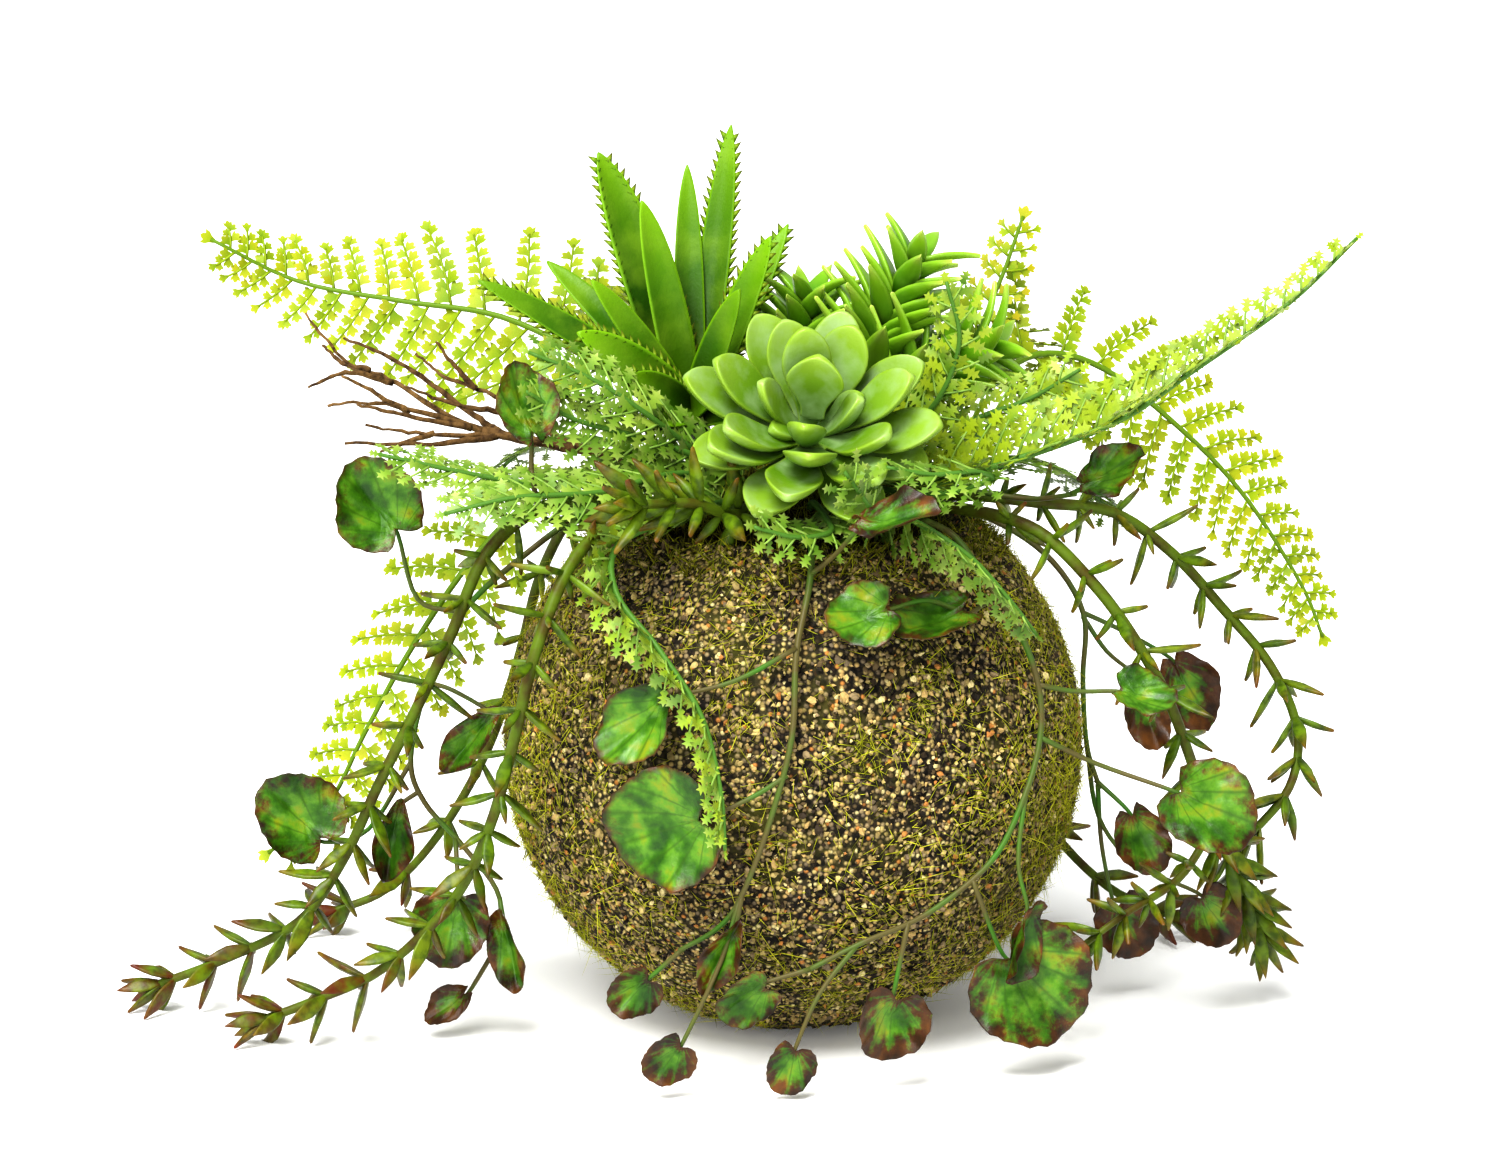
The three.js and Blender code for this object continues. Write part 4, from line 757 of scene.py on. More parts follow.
def finger_leaf():
    """Plump glossy leaf with a light rim and a light pointed tip, darkened towards its root as painted
    shade among the whorls.
    """
    return leaf_finish(
        "finger_leaf",
        # The dark root of the run is painted shade where the leaves crowd on the stem
        along=[(0, "#1c4600"), (0.36, "#4e8606"), (0.74, "#8ab81e"), (1, "#d0d86c")],
        tones=[(0, "#3a6e00"), (1, "#90b828")],
        tone_share=0.4, mottle="#84ac3c", mottle_mm=6, edge="#84ac2c",
        bump_mm=0.05, gloss=0.35, roughness=0.28)


def sedum_leaf():
    """Boat-shaped leaf, olive green with a red tip, redder on older shoots."""
    return leaf_finish(
        "sedum_leaf",
        along=[(0, "#4c640a"), (0.55, "#66800e"), (0.8, "#6a500c"), (1, "#74180a")],
        tones=[(0, "#244404"), (0.5, "#6e8412"), (0.8, "#6c560e"), (1, "#96341c")],
        tone_share=0.4, mottle="#1c3404", mottle_mm=2.4, mottle_share=0.75,
        aged="#581006", aged_share=0.85, gloss=0.28, roughness=0.4)


def sedum_stem():
    """Green creeping stem with a brown skin in patches."""
    return leaf_finish(
        "sedum_stem",
        along=[(0, "#5c6e14"), (1, "#5c6e14")], tones=[(0, "#4c620c"), (1, "#4c620c")],
        tone_share=0.5, mottle="#44280f", mottle_mm=5, mottle_share=0.8,
        aged="#4c2a12", aged_share=0.8)


def vine_stem():
    """Wiry brown stem, green in long runs."""
    return leaf_finish(
        "vine_stem",
        along=[(0, "#5c4a2c"), (1, "#5c4a2c")], tones=[(0, "#54582c"), (1, "#54582c")],
        tone_share=0.5, mottle="#3c701c", mottle_mm=13, mottle_share=1.0, roughness=0.45)


def twig_bark():
    """Dry tan bark with darker cracks."""
    return leaf_finish(
        "twig_bark",
        along=[(0, "#745830"), (1, "#745830")], tones=[(0, "#46301a"), (1, "#8a6c40")],
        tone_share=0.5, mottle="#281606", mottle_mm=1.8, mottle_share=0.9,
        bump_mm=0.35, grain_mm=0.9, roughness=0.8)


def vine_leaf():
    """Round leaf, green at its heart, with veins darkened as painted shade in their creases, red-brown
    mottles and a red-brown rim.
    """
    material, add = new_material("vine_leaf")
    place = add("TexCoord", output="Object")
    outward, around, age = [
        add("Attribute", output="Fac", attribute_name=mark) for mark in ("along", "across", "age")]
    cloud = add("TexNoise", {"Vector": place, "Scale": per_metre(5), "Detail": 5.0})
    green = add("ValToRGB", {"Fac": cloud},
                stops=[(0.3, "#1c4204"), (0.45, "#376408"), (0.57, "#55801c"), (0.72, "#7c8414")])
    # The veins fan out from the stalk and are darkened as painted shade in their creases, and the red-brown
    # lies between them
    fan = add("Math", {FIRST: around, SECOND: 4.5}, operation="MULTIPLY")
    wave = add("Math", {FIRST: fan, SECOND: 0.5}, operation="PINGPONG")
    vein_crease_shade = add("MapRange", {"Value": wave, FROM_LOW: 0.0, FROM_HIGH: 0.12, TO_LOW: 0.6, TO_HIGH: 0.0})
    vein_shaded = add("Mix", {SHARE: vein_crease_shade, UNDER: green, OVER: linear("#2c4c06")}, MIXED, data_type="RGBA")
    blotch = add("TexNoise", {"Vector": place, "Scale": per_metre(2.6), "Detail": 6.0, "Roughness": 0.7})
    ragged = add("Math", {FIRST: blotch, SECOND: 0.3}, operation="MULTIPLY")
    reach = add("Math", {FIRST: outward, SECOND: ragged})
    rim = add("MapRange", {"Value": reach, FROM_LOW: 1.02, FROM_HIGH: 1.14, TO_HIGH: 0.9})
    outer = add("MapRange", {"Value": outward, FROM_LOW: 0.15, FROM_HIGH: 0.95, TO_LOW: 0.3, TO_HIGH: 1.15})
    between = add("MapRange", {"Value": wave, FROM_LOW: 0.02, FROM_HIGH: 0.26, TO_LOW: 0.74, TO_HIGH: 1.1})
    ruddy = add("Math", {FIRST: age, SECOND: blotch}, operation="MULTIPLY")
    for weight in (outer, between):
        ruddy = add("Math", {FIRST: ruddy, SECOND: weight}, operation="MULTIPLY")
    patch = add("MapRange", {"Value": ruddy, FROM_LOW: 0.25, FROM_HIGH: 0.42, TO_HIGH: 0.92})
    brown = add("Math", {FIRST: rim, SECOND: patch}, operation="MAXIMUM")
    rust = add("ValToRGB", {"Fac": cloud}, stops=[(0.36, "#260805"), (0.52, "#451409"), (0.68, "#64300e")])
    colour = add("Mix", {SHARE: brown, UNDER: vein_shaded, OVER: rust}, MIXED, data_type="RGBA")
    return finish_with(material, colour, blotch, 0.2, gloss=0.32, roughness=0.32)


GRIT_COLOURS = [
    (0.0, "#141008"), (0.15, "#30261a"), (0.26, "#645438"), (0.37, "#988654"), (0.5, "#c0ac70"),
    (0.63, "#948260"), (0.73, "#d4c58e"), (0.78, "#b89c64"), (0.88, "#746650"), (0.96, "#b47c40"),
]


def ball_matrix():
    """Matted fibre full of grit of about a millimetre, with painted shade darkening the gaps between
    grains, and moss-green stains.
    """
    material, add = new_material("ball_matrix")
    place = add("TexCoord", output="Object")
    gap = add("TexVoronoi", {"Vector": place, "Scale": per_metre(1.1)}, "Distance")
    each = add("SeparateColor", {FIRST: gap.node.outputs["Color"]})
    stone = add("ValToRGB", {"Fac": each}, stops=GRIT_COLOURS, steps="CONSTANT")
    # The darkening towards each grain's edge is painted shade in the gaps between grains
    painted_shade = add("MapRange", {"Value": gap, FROM_LOW: 0.3, FROM_HIGH: 0.62, TO_HIGH: 0.95})
    gritty = add("Mix", {SHARE: painted_shade, UNDER: stone, OVER: linear("#15110c")}, MIXED, data_type="RGBA")
    moss = add("TexNoise", {"Vector": place, "Scale": per_metre(16), "Detail": 6.0, "Roughness": 0.7})
    stain = add("MapRange", {"Value": moss, FROM_LOW: 0.48, FROM_HIGH: 0.66, TO_HIGH: 0.35})
    mossy = add("Mix", {SHARE: stain, UNDER: gritty, OVER: linear("#5a580c")}, MIXED, data_type="RGBA")
    height = add("MapRange", {"Value": gap, FROM_LOW: 0.0, FROM_HIGH: 0.7, TO_LOW: 1.0, TO_HIGH: 0.0})
    return finish_with(material, mossy, height, 0.5, roughness=0.85)


def grit_stone():
    """Sand and gravel grains of many colours with dry broken faces."""
    material, add = new_material("grit_stone")
    tone = add("Attribute", output="Fac", attribute_name="tone")
    stone = add("ValToRGB", {"Fac": tone}, stops=GRIT_COLOURS, steps="CONSTANT")
    place = add("TexCoord", output="Object")
    speck = add("TexNoise", {"Vector": place, "Scale": per_metre(0.5), "Detail": 2.0})
    dust = add("MapRange", {"Value": speck, FROM_LOW: 0.4, FROM_HIGH: 0.7, TO_HIGH: 0.35})
    colour = add("Mix", {SHARE: dust, UNDER: stone, OVER: linear("#4c3f2e")}, MIXED, data_type="RGBA")
    return finish_with(material, colour, speck, 0.1, roughness=0.7)


def moss_fibre():
    """Fine dry moss strands, olive to yellow-green."""
    material, add = new_material("moss_fibre")
    tone = add("Attribute", output="Fac", attribute_name="tone")
    strand = add("ValToRGB", {"Fac": tone},
                 stops=[(0, "#4a400c"), (0.3, "#7c7a0e"), (0.65, "#aaac14"), (1, "#d8d63a")])
    place = add("TexCoord", output="Object")
    cloud = add("TexNoise", {"Vector": place, "Scale": per_metre(11), "Detail": 2.0})
    patch = add("MapRange", {"Value": cloud, FROM_LOW: 0.45, FROM_HIGH: 0.7, TO_HIGH: 0.4})
    colour = add("Mix", {SHARE: patch, UNDER: strand, OVER: linear("#6a7c0c")}, MIXED, data_type="RGBA")
    return finish_with(material, colour, roughness=0.6)


def damp_soil():
    """Dark crumbly peat with brown fibres and green stains, each crumb painted darker towards its edge as
    shade between the crumbs.
    """
    material, add = new_material("damp_soil")
    place = add("TexCoord", output="Object")
    crumb = add("TexVoronoi", {"Vector": place, "Scale": per_metre(1.6)}, "Distance")
    # The peat's own dark brown, with painted shade near black at each crumb's edge
    earth_with_painted_shade = add("ValToRGB", {"Fac": crumb}, stops=[(0, "#3c2a14"), (0.5, "#20160a"), (1, "#0c0804")])
    moss = add("TexNoise", {"Vector": place, "Scale": per_metre(9), "Detail": 5.0})
    stain = add("MapRange", {"Value": moss, FROM_LOW: 0.48, FROM_HIGH: 0.66, TO_HIGH: 0.6})
    colour = add("Mix", {SHARE: stain, UNDER: earth_with_painted_shade, OVER: linear("#343c08")}, MIXED, data_type="RGBA")
    return finish_with(material, colour, crumb, 0.6, roughness=0.9)


# Ferns

RIB_TIP = 0.25
END_LEAFLET = 3.5


def pinna_direction(along, up, side, spread, fold):
    """Where a pinna points: ahead and to its side, and raised to the frond's face by the fold."""
    beside = np.cross(along, up) * side * math.cos(fold) + up * math.sin(fold)
    return along * math.cos(spread) + beside * math.sin(spread)


def grow_frond(kind, foot, route, face, first, long, short, fold=-7, ripe=0.4):
    """One frond: pairs of ribbed pinnae on a stalk, each with rows of lobed leaflets."""
    growth = Growth()
    stalk = growth.stalk(foot, route, root=1.0, tip=0.42, material=1, tone=0.3)
    ribs = []
    leaflets = []

    def add_leaflet(point, direction, up, length, tone):
        side = np.cross(up, direction)
        matrix = np.column_stack([direction * length, side * length, up * length])
        leaflets.append((point, matrix, np.clip(tone + draw.normal(0, 0.15), 0, 1)))

    def add_pinna(point, along, up, side, reach, painted_shade):
        spread = math.radians(kind["spread"] * draw.uniform(0.93, 1.05))
        lifted = math.radians(fold + draw.uniform(-8, 8))
        out = pinna_direction(along, up, side, spread, lifted)
        pinna_face = square_to(out, up - np.cross(along, up) * side * math.sin(lifted))
        curl = along * draw.uniform(0.08, 0.28) - up * draw.uniform(0.02, 0.16)
        shares = np.linspace(0, 0.95, 4)[:, None]
        rib = point + (out * shares + curl * shares**2) * reach
        ribs.append((rib, np.linspace(kind["rib"], RIB_TIP, 4)))
        size = kind["least"] + kind["gain"] * reach
        room = kind["leaflet_room"] * size
        # Darker tones towards the frond's root are painted shade inside the crown
        tone = draw.uniform(0.15, 0.75) * painted_shade
        for k in range(max(1, round((reach - 0.5 * size) / room))):
            for flank in (-1, 1):
                share = min(0.96, (0.55 + k + 0.42 * (flank * side > 0)) * room / reach)
                spot = point + (out * share + curl * share**2) * reach
                heading = unit(out + 2 * curl * share)
                lift = turned(square_to(heading, pinna_face), heading, draw.normal(0, 0.18))
                beside = np.cross(heading, lift)
                aim = unit(heading * kind["sweep"] + beside * flank + lift * draw.uniform(-0.1, 0.25))
                grown = size * (1.05 - 0.4 * share) * draw.uniform(0.9, 1.12)
                add_leaflet(spot, aim, square_to(aim, lift), grown, tone)
        heading = unit(out + 2 * curl)
        tip = point + (out * 0.92 + curl * 0.85) * reach
        add_leaflet(tip, heading, square_to(heading, pinna_face), 0.8 * size, tone)

    pairs = round(stalk.reach[-1] * (1 - first) / kind["pinna_room"])
    crowding = kind["crowding"]
    for i in range(pairs):
        for side in (-1, 1):
            place = (i + 0.3 * (side > 0)) / pairs
            place = place * (1 + crowding - crowding * place)
            full = blend(long, 0.7 * short, place**1.2) * min(1, 0.8 + 2 * place)
            point, along = stalk.at(blend(first, STALK_END, place))
            full = full * draw.uniform(0.9, 1.06)
            # Pinnae near the frond's root get darker tones: painted shade inside the crown
            painted_shade = 0.35 + 0.65 * ease(0, 0.5, place)
            add_pinna(point, along, square_to(along, face), side, full, painted_shade)
    end, heading = stalk.at(1)
    add_leaflet(end - heading, heading, square_to(heading, face), min(END_LEAFLET, short), 0.6)
    places, matrices, tones = (np.array(values) for values in zip(*leaflets))
    ages = ripe * draw.uniform(0.6, 1.3, len(tones))
    growth.scatter(kind["leaflet"], matrices, places, tone=tones, age=ages)
    growth.tubes(ribs, material=1, rounding=0, tone=0.8)
    return growth


# Succulents

PETAL_FORM = round_form(28, 20)
BLADE_FORM = round_form(14, 18)
FINGER_FORM = round_form(12, 12)
SEDUM_FORM = round_form(8, 8)
TOOTH = cone_shape(4)
TOOTH_ROOM = 2.5
# How an aloe blade curves across, the share of its width that is body where teeth take the rest,
# and how far out on the blade the teeth are rooted
BLADE_CUP = -0.5
TOOTHED_BODY = 0.88
TOOTH_ROOT = 0.9


def grow_rosette():
    """Layers of petals round a closed heart, on a short stalk that leans forward."""
    growth = Growth()
    growth.stalk(ROSETTE_FOOT, ROSETTE_STALK, root=2.4, tip=4.2, rounding=4, along=0.1, tone=0.3)
    right = square_to(ROSETTE_AXIS, (1, 0, 0))

    def add_petal(azimuth, lean, length, half_width, cup, bend=-40, rise=0):
        out = turned(right, ROSETTE_AXIS, math.radians(azimuth))
        lean = math.radians(lean)
        heart = ROSETTE_HEART + ROSETTE_AXIS * rise
        tip = heart + out * length * math.cos(lean) + ROSETTE_AXIS * length * math.sin(lean)
        arc = Arc(heart + out * 1.5, tip, ROSETTE_AXIS - out * 0.001, math.radians(bend))
        fleshy_leaf(growth, PETAL_FORM, arc, petal_width, half_width, thickness=1.5, cup=cup,
                    tone=draw.random())

    for layer in ROSETTE_LAYERS:
        for i in range(layer["count"]):
            azimuth = layer["turn"] + layer["sweep"] * i / layer["count"] + draw.uniform(-4, 4)
            lean = layer["lean"] + draw.uniform(-4, 4)
            length = layer["length"] * draw.uniform(0.94, 1.03)
            half_width = layer["half_width"] * draw.uniform(0.92, 1.05)
            add_petal(azimuth, lean, length, half_width, draw.uniform(0.25, 0.5))
    for leaf in ROSETTE_HEART_LEAVES:
        add_petal(**leaf, bend=-16)
    return growth


def grow_aloe():
    """One head of long blades from a common heart, some with toothed edges."""
    growth = Growth()
    growth.stalk(ALOE_FOOT, ALOE_STALK, root=2.2, tip=4, rounding=4, along=0.1, tone=0.3)
    for point, half_width, toothed, curl in ALOE_LEAVES:
        tip = np.array(point, float)
        out = tip - ALOE_HEART
        out[2] = 0
        out = unit(out)
        back = np.array([0.4 * out[0], -1 if tip[1] > 25 else 1, -0.5])
        arc = Arc(ALOE_HEART + out * 1.2, tip, back, math.radians(-curl))
        body = half_width * (TOOTHED_BODY if toothed else 1)
        fleshy_leaf(growth, BLADE_FORM, arc, blade_width, body, thickness=1.2, cup=BLADE_CUP,
                    tone=draw.random())
        if toothed:
            add_teeth(growth, arc, body)
    return growth


def add_teeth(growth, arc, half_width):
    """Saw teeth down both edges of an aloe leaf, leaning towards its tip."""
    places = []
    matrices = []
    for side in (-1, 1):
        shares = np.linspace(0.12, 0.95, round(arc.length / TOOTH_ROOM)) + draw.uniform(0, 0.02)
        breadth = half_width * blade_width(shares)
        rise = BLADE_CUP * breadth * TOOTH_ROOT**2
        edges = arc.lay(shares, side * breadth * TOOTH_ROOT, rise)
        ahead = arc.lay(shares + 0.01, side * breadth * TOOTH_ROOT, rise)
        outer = arc.lay(shares, side * (breadth + 1), rise)
        for edge, front, beyond, share in zip(edges, ahead, outer, shares):
            forward = unit(front - edge)
            aim = unit(unit(beyond - edge) + forward)
            long = blend(4.0, 2.6, share) * draw.uniform(0.8, 1.15)
            flat = unit(np.cross(aim, forward))
            places.append(edge - aim * 0.5)
            matrices.append(np.column_stack([aim * long, np.cross(flat, aim), flat * 0.4]))
    growth.scatter(TOOTH, np.array(matrices), np.array(places), material=1,
                   tone=draw.random(len(places)))


def grow_finger_stem(foot, route, whorls, first):
    """An upright stem with whorls of four arching finger leaves, smaller towards its top."""
    growth = Growth()
    stalk = growth.stalk(foot, route, root=1.5, tip=1.0, rounding=3, along=0.3, tone=0.4)
    for i in range(whorls):
        step = i / (whorls - 1)
        point, along = stalk.at(blend(first, STALK_END, step))
        square = square_to(along, (1, 0.2, 0.1))
        slope = math.radians(blend(44, 54, step))
        length = blend(28, 16, step)
        half_width = blend(4.2, 2.5, step)
        for k in range(4):
            out = turned(square, along, math.radians(90 * k + 47 * i) + draw.normal(0, 0.16))
            reach = length * draw.uniform(0.88, 1.08)
            tip = point + along * reach * math.cos(slope) + out * reach * math.sin(slope)
            arc = Arc(point, tip, along, math.radians(draw.uniform(10, 46)))
            fleshy_leaf(growth, FINGER_FORM, arc, lance_width, half_width, thickness=1.1, cup=0.3,
                        tone=draw.random(), age=step)
    return growth


def grow_sedum(foot, route, whorls, first, branch=None, end_cluster=0, oldest=1.0, leaf_length=12.5,
               plump=1.0):
    """A creeping stem with whorls of narrow leaves, every second one shorter near its foot."""
    growth = Growth()
    stem = growth.stalk(foot, route, root=1.5, tip=1.0, material=1, rounding=3, age=0.4)

    def add_leaf(point, along, out, length, slope, age):
        tip = point + along * length * math.cos(slope) + out * length * math.sin(slope)
        arc = Arc(point, tip, out, math.radians(draw.uniform(-22, -4)))
        half_width = plump * length * blend(0.09, 0.17, age)
        fleshy_leaf(growth, SEDUM_FORM, arc, boat_width, half_width, thickness=0.8 * plump, cup=0.4,
                    tone=draw.beta(1.2, 2.0), age=age * draw.uniform(0.7, 1.15))

    def dress(path, begin, count, length, youngest=0.0):
        for i in range(count):
            step = i / (count - 1)
            point, along = path.at(blend(begin, 0.97, step))
            square = square_to(along, (0.3, 0.5, 1))
            age = blend(youngest, oldest, step)
            for k in range(4):
                out = turned(square, along, i * 1.3 + k / 2 * math.pi + draw.normal(0, 0.2))
                slope = math.radians(draw.uniform(0.85, 1.15) * blend(74, 46, step))
                grown = length * draw.uniform(0.85, 1.15) * (1 if k % 2 else blend(0.5, 0.9, step))
                add_leaf(point, along, out, grown, slope, age)

    dress(stem, first, round(whorls * 1.15), leaf_length)
    end, along = stem.at(STALK_END)
    square = square_to(along, (0.3, 0.5, 1))
    for k in range(4):
        out = turned(square, along, k * 1.6)
        add_leaf(end, along, out, length=11, slope=math.radians(22), age=oldest)
    for i in range(end_cluster * 2):
        point, along = stem.at(0.78 + 0.035 * i)
        square = square_to(along, (0.3, 0.5, 1))
        for k in range(4):
            out = turned(square, along, 0.8 * i + 0.4 + k * 1.57)
            add_leaf(point, along, out, length=13, slope=math.radians(42), age=0.55)
    if branch:
        side_shoot = Route(branch)
        radii = side_shoot.radii(root=1.0, tip=0.7)
        growth.tubes([(side_shoot.points, radii)], material=1, age=0.7)
        dress(side_shoot, begin=0.2, count=6, length=11, youngest=0.5)
    return growth


# Vines

ROUND_FORM = round_form(44, 16)
VINE_LEAF_THICKNESS = 0.68


def vine_blade(growth, root, tip, face, wide, ruddy):
    """A thin waved leaf, round with a cleft where its stalk joins, or narrow and pointed."""
    share, across_part, along_part, radius, faces = ROUND_FORM
    chord = tip - root
    size = 0.58 * np.linalg.norm(chord)
    along = unit(chord)
    up = square_to(along, face)
    across = np.cross(along, up)
    centre = tip - along * size
    angle = np.arctan2(across_part, along_part)
    reach = radius * size
    narrow = wide <= 0.6
    # A round leaf has a cleft at its stalk, small scallops round its rim and three soft lobes
    if not narrow:
        cleft = 1 - 0.4 * np.exp(-(((math.pi - np.abs(angle)) / 0.34) ** 2))
        crenate = 1 + 0.022 * np.cos(17 * angle) * ease(0.6, 1, radius)
        lobe = 1 + 0.07 * np.cos(3 * angle + draw.uniform(-1, 1))
        lobe = lobe + draw.uniform(0, 0.06) * np.cos(2 * angle)
        reach = reach * cleft * crenate * lobe
    x = reach * along_part
    y = reach * across_part * wide
    y = y * blend(1, 0.5 + 0.5 * ease(-0.95, 0.35, x / size), 0.9 if wide < 0.9 else 0.35)
    if narrow:
        y = y * (1 - 0.45 * np.clip(x / size, 0, 1) ** 2)
    # Its face is dished, waves more towards the rim, and is raised between the veins that fan out
    fan = np.arctan2(y, x + 0.7 * size)
    phase = draw.uniform(0, 2 * math.pi)
    form = draw.uniform(0.1, 0.22) * size * radius**2
    form = form + 0.12 * size * np.sin(3 * angle + phase) * radius**3
    form = form + 0.05 * size * np.sin(7 * angle + 2 * phase) * radius**4
    form = form + 0.06 * size * np.abs(np.sin(4.5 * math.pi * fan / 1.6)) * ease(0.05, 0.5, radius)
    form = form + (0.5 if narrow else 0.12) * np.abs(y)
    skin = VINE_LEAF_THICKNESS / 2 * np.sqrt(np.clip(1 - radius**2, 0, 1)) * np.where(share > 0.5, 1, -1)
    spots = centre + np.outer(x, along) + np.outer(y, across) + np.outer(form + skin, up)
    growth.add(spots, faces, along=radius, across=fan / 1.6 + 0.5, tone=draw.random(), age=ruddy)


def grow_vine(foot, route, leaves, ruddy=0.55):
    """A thin trailing stem and its leaves on petioles, redder low down where they are old."""
    growth = Growth()
    growth.stalk(foot, route, root=0.8, tip=0.55, material=1)
    petioles = []
    for points, tip, face, wide, *redder in leaves:
        tip = np.array(tip, float)
        root = np.array(points[-1], float)
        petiole = Route([*points, blend(root, tip, 0.24)], steps=5)
        petioles.append((petiole.points, petiole.radii(root=0.6, tip=0.45)))
        outward = tip - BALL_CENTRE if face is None else np.array(face, float)
        low = 0.34 * float(ease(0, 1, (45 - tip[2]) / 40))
        redness = (ruddy + low + sum(redder)) * draw.uniform(0.8, 1.15)
        vine_blade(growth, root, tip, outward, wide, redness)
    growth.tubes(petioles, material=1)
    return growth


def grow_twigs():
    """Dry twigs with knots, forking from one stalk."""
    growth = Growth()
    trunk = ([*foot_points(TWIG_FOOT), *TWIG_TRUNK], 1.5, 1.2)
    for points, root, tip in [trunk, *[(branch, 0.8, 0.3) for branch in TWIG_BRANCHES]]:
        twig = Route(points, 8)
        line = twig.points + draw.normal(0, 0.14, twig.points.shape)
        line[0] = twig.points[0]
        knots = twig.radii(root, tip) * draw.uniform(0.82, 1.16, len(line))
        growth.tubes([(line, knots)], rounding=3, tone=draw.random())
    return growth


# The ball

# A ring of corners on the flat rest, and the height under which nothing on it is lumpy
REST_RING = 9
REST_LEVEL = 0.5
# How far above the ball's centre its lip starts, and how far from the centre the moss on the
# mound would lean out by half a right angle
LIP_RISE = 44
MOUND_LEAN = 90


def spun(profile, steps):
    """A closed shape turned about the upright axis from (radius, height) points."""
    bm = bmesh.new()
    verts = [bm.verts.new((radius, 0, height)) for radius, height in profile]
    edges = [bm.edges.new(pair) for pair in zip(verts, verts[1:])]
    bmesh.ops.spin(bm, geom=verts + edges, cent=(0, 0, 0), axis=(0, 0, 1), angle=2 * math.pi,
                   steps=steps, use_merge=True)
    bmesh.ops.remove_doubles(bm, verts=bm.verts, dist=0.01)
    bmesh.ops.recalc_face_normals(bm, faces=bm.faces)
    return shape_of(bm)


def ball_arc(radius, from_radius, to_radius, stations):
    """Points up a ball's side, from a low ring to a high one."""
    start = math.pi - math.asin(from_radius / radius)
    end = math.asin(to_radius / radius)
    angles = np.linspace(start, end, stations + 1)
    return [(radius * math.sin(a), CENTRE_Z + radius * math.cos(a)) for a in angles]


def lumps(corners, size, height):
    """Pushes corners in and out from the ball's centre by a soft noise."""
    moved = []
    for corner in corners:
        away = corner - BALL_CENTRE
        swell = height * noise.fractal(Vector(corner / size), 1.0, 2.0, 4)
        moved.append(corner + unit(away) * swell)
    return np.array(moved)


def moss_share(point):
    """How mossy the ball is at a point: thicker at its two sides and in soft patches."""
    patch = noise.noise(Vector(point / 17)) + 0.5 * noise.noise(Vector(point / 6))
    return float(np.clip(0.3 + 0.6 * patch + 0.7 * (abs(point[0]) / BALL_RADIUS) ** 3, 0.08, 1))


def ball_points(count):
    """Random points on the ball's skin between its rest and its mouth, with their outward directions."""
    low = (2.0 - CENTRE_Z) / BALL_RADIUS
    high = math.sqrt(BALL_RADIUS**2 - MOUTH_RADIUS**2) / BALL_RADIUS
    z = draw.uniform(low, high, count)
    azimuth = draw.uniform(0, 2 * math.pi, count)
    ring = np.sqrt(1 - z**2)
    outward = np.column_stack([ring * np.cos(azimuth), ring * np.sin(azimuth), z])
    return BALL_CENTRE + BALL_RADIUS * outward, outward


def random_turns(count):
    """Random rotation matrices."""
    first = units(draw.normal(size=(count, 3)))
    second = units(np.cross(first, draw.normal(size=(count, 3))))
    return np.stack([first, second, np.cross(first, second)], axis=2)


def flat_headings(outward):
    """Random directions that lie flat on a surface."""
    return units(np.cross(outward, draw.normal(size=outward.shape)))


def spikes(outward, heading, tilt, lengths, radii):
    """Matrices that lay a unit spike on a surface, tilted up from it towards its outward side."""
    beside = np.cross(outward, heading)
    aim = heading * np.cos(tilt)[:, None] + outward * np.sin(tilt)[:, None]
    lift = np.cross(aim, beside)
    return np.stack([aim * lengths[:, None], beside * radii[:, None], lift * radii[:, None]], axis=2)


def strand_shape():
    """A bent three-sided strand of unit length along +X."""
    bm = bmesh.new()
    bmesh.ops.create_cone(bm, cap_ends=True, segments=3, radius1=1, radius2=0.4, depth=0.5)
    bmesh.ops.translate(bm, verts=bm.verts, vec=(0, 0, 0.25))
    top = [face for face in bm.faces if all(vert.co.z > 0.4 for vert in face.verts)]
    poked = bmesh.ops.poke(bm, faces=top, offset=0)
    for vert in poked["verts"]:
        vert.co = (2.5, 0, 1)
    bmesh.ops.rotate(bm, verts=bm.verts, matrix=Matrix.Rotation(math.pi / 2, 3, "Y"))
    return shape_of(bm)


STRAND = strand_shape()
FINE_STRAND = cone_shape(3)
GRAIN_KINDS = [grain_shape() for _ in range(4)]
SAND_KINDS = [sand_shape() for _ in range(3)]


def grow_ball():
    """The matted skin with its rolled lip and flat rest."""
    growth = Growth()
    outer = ball_arc(BALL_RADIUS, REST_RADIUS, MOUTH_RADIUS, stations=62)
    inner = ball_arc(INNER_RADIUS, 0, LIP_RADIUS, stations=14)[::-1]
    corners, faces = spun([(0, 0), (REST_RING, 0), *outer, *inner], steps=120)
    lumpy = lumps(corners, size=9, height=0.9)
    rest = corners[:, 2] < REST_LEVEL
    lumpy[rest] = corners[rest]
    growth.add(lumpy, faces)
    return growth


def grow_grit(kinds, total, radius):
    """Loose-looking grains bedded in the skin."""
    growth = Growth()
    for kind in kinds:
        count = total // len(kinds)
        places, outward = ball_points(count)
        sizes = radius * draw.lognormal(0.04, 0.42, count).clip(0.5, 2.4)
        turns = random_turns(count) * sizes[:, None, None]
        turns[:, :, 2] *= 0.7
        growth.scatter(kind, turns, places + outward * 0.1, smooth=False, tone=draw.random(count))
    return growth


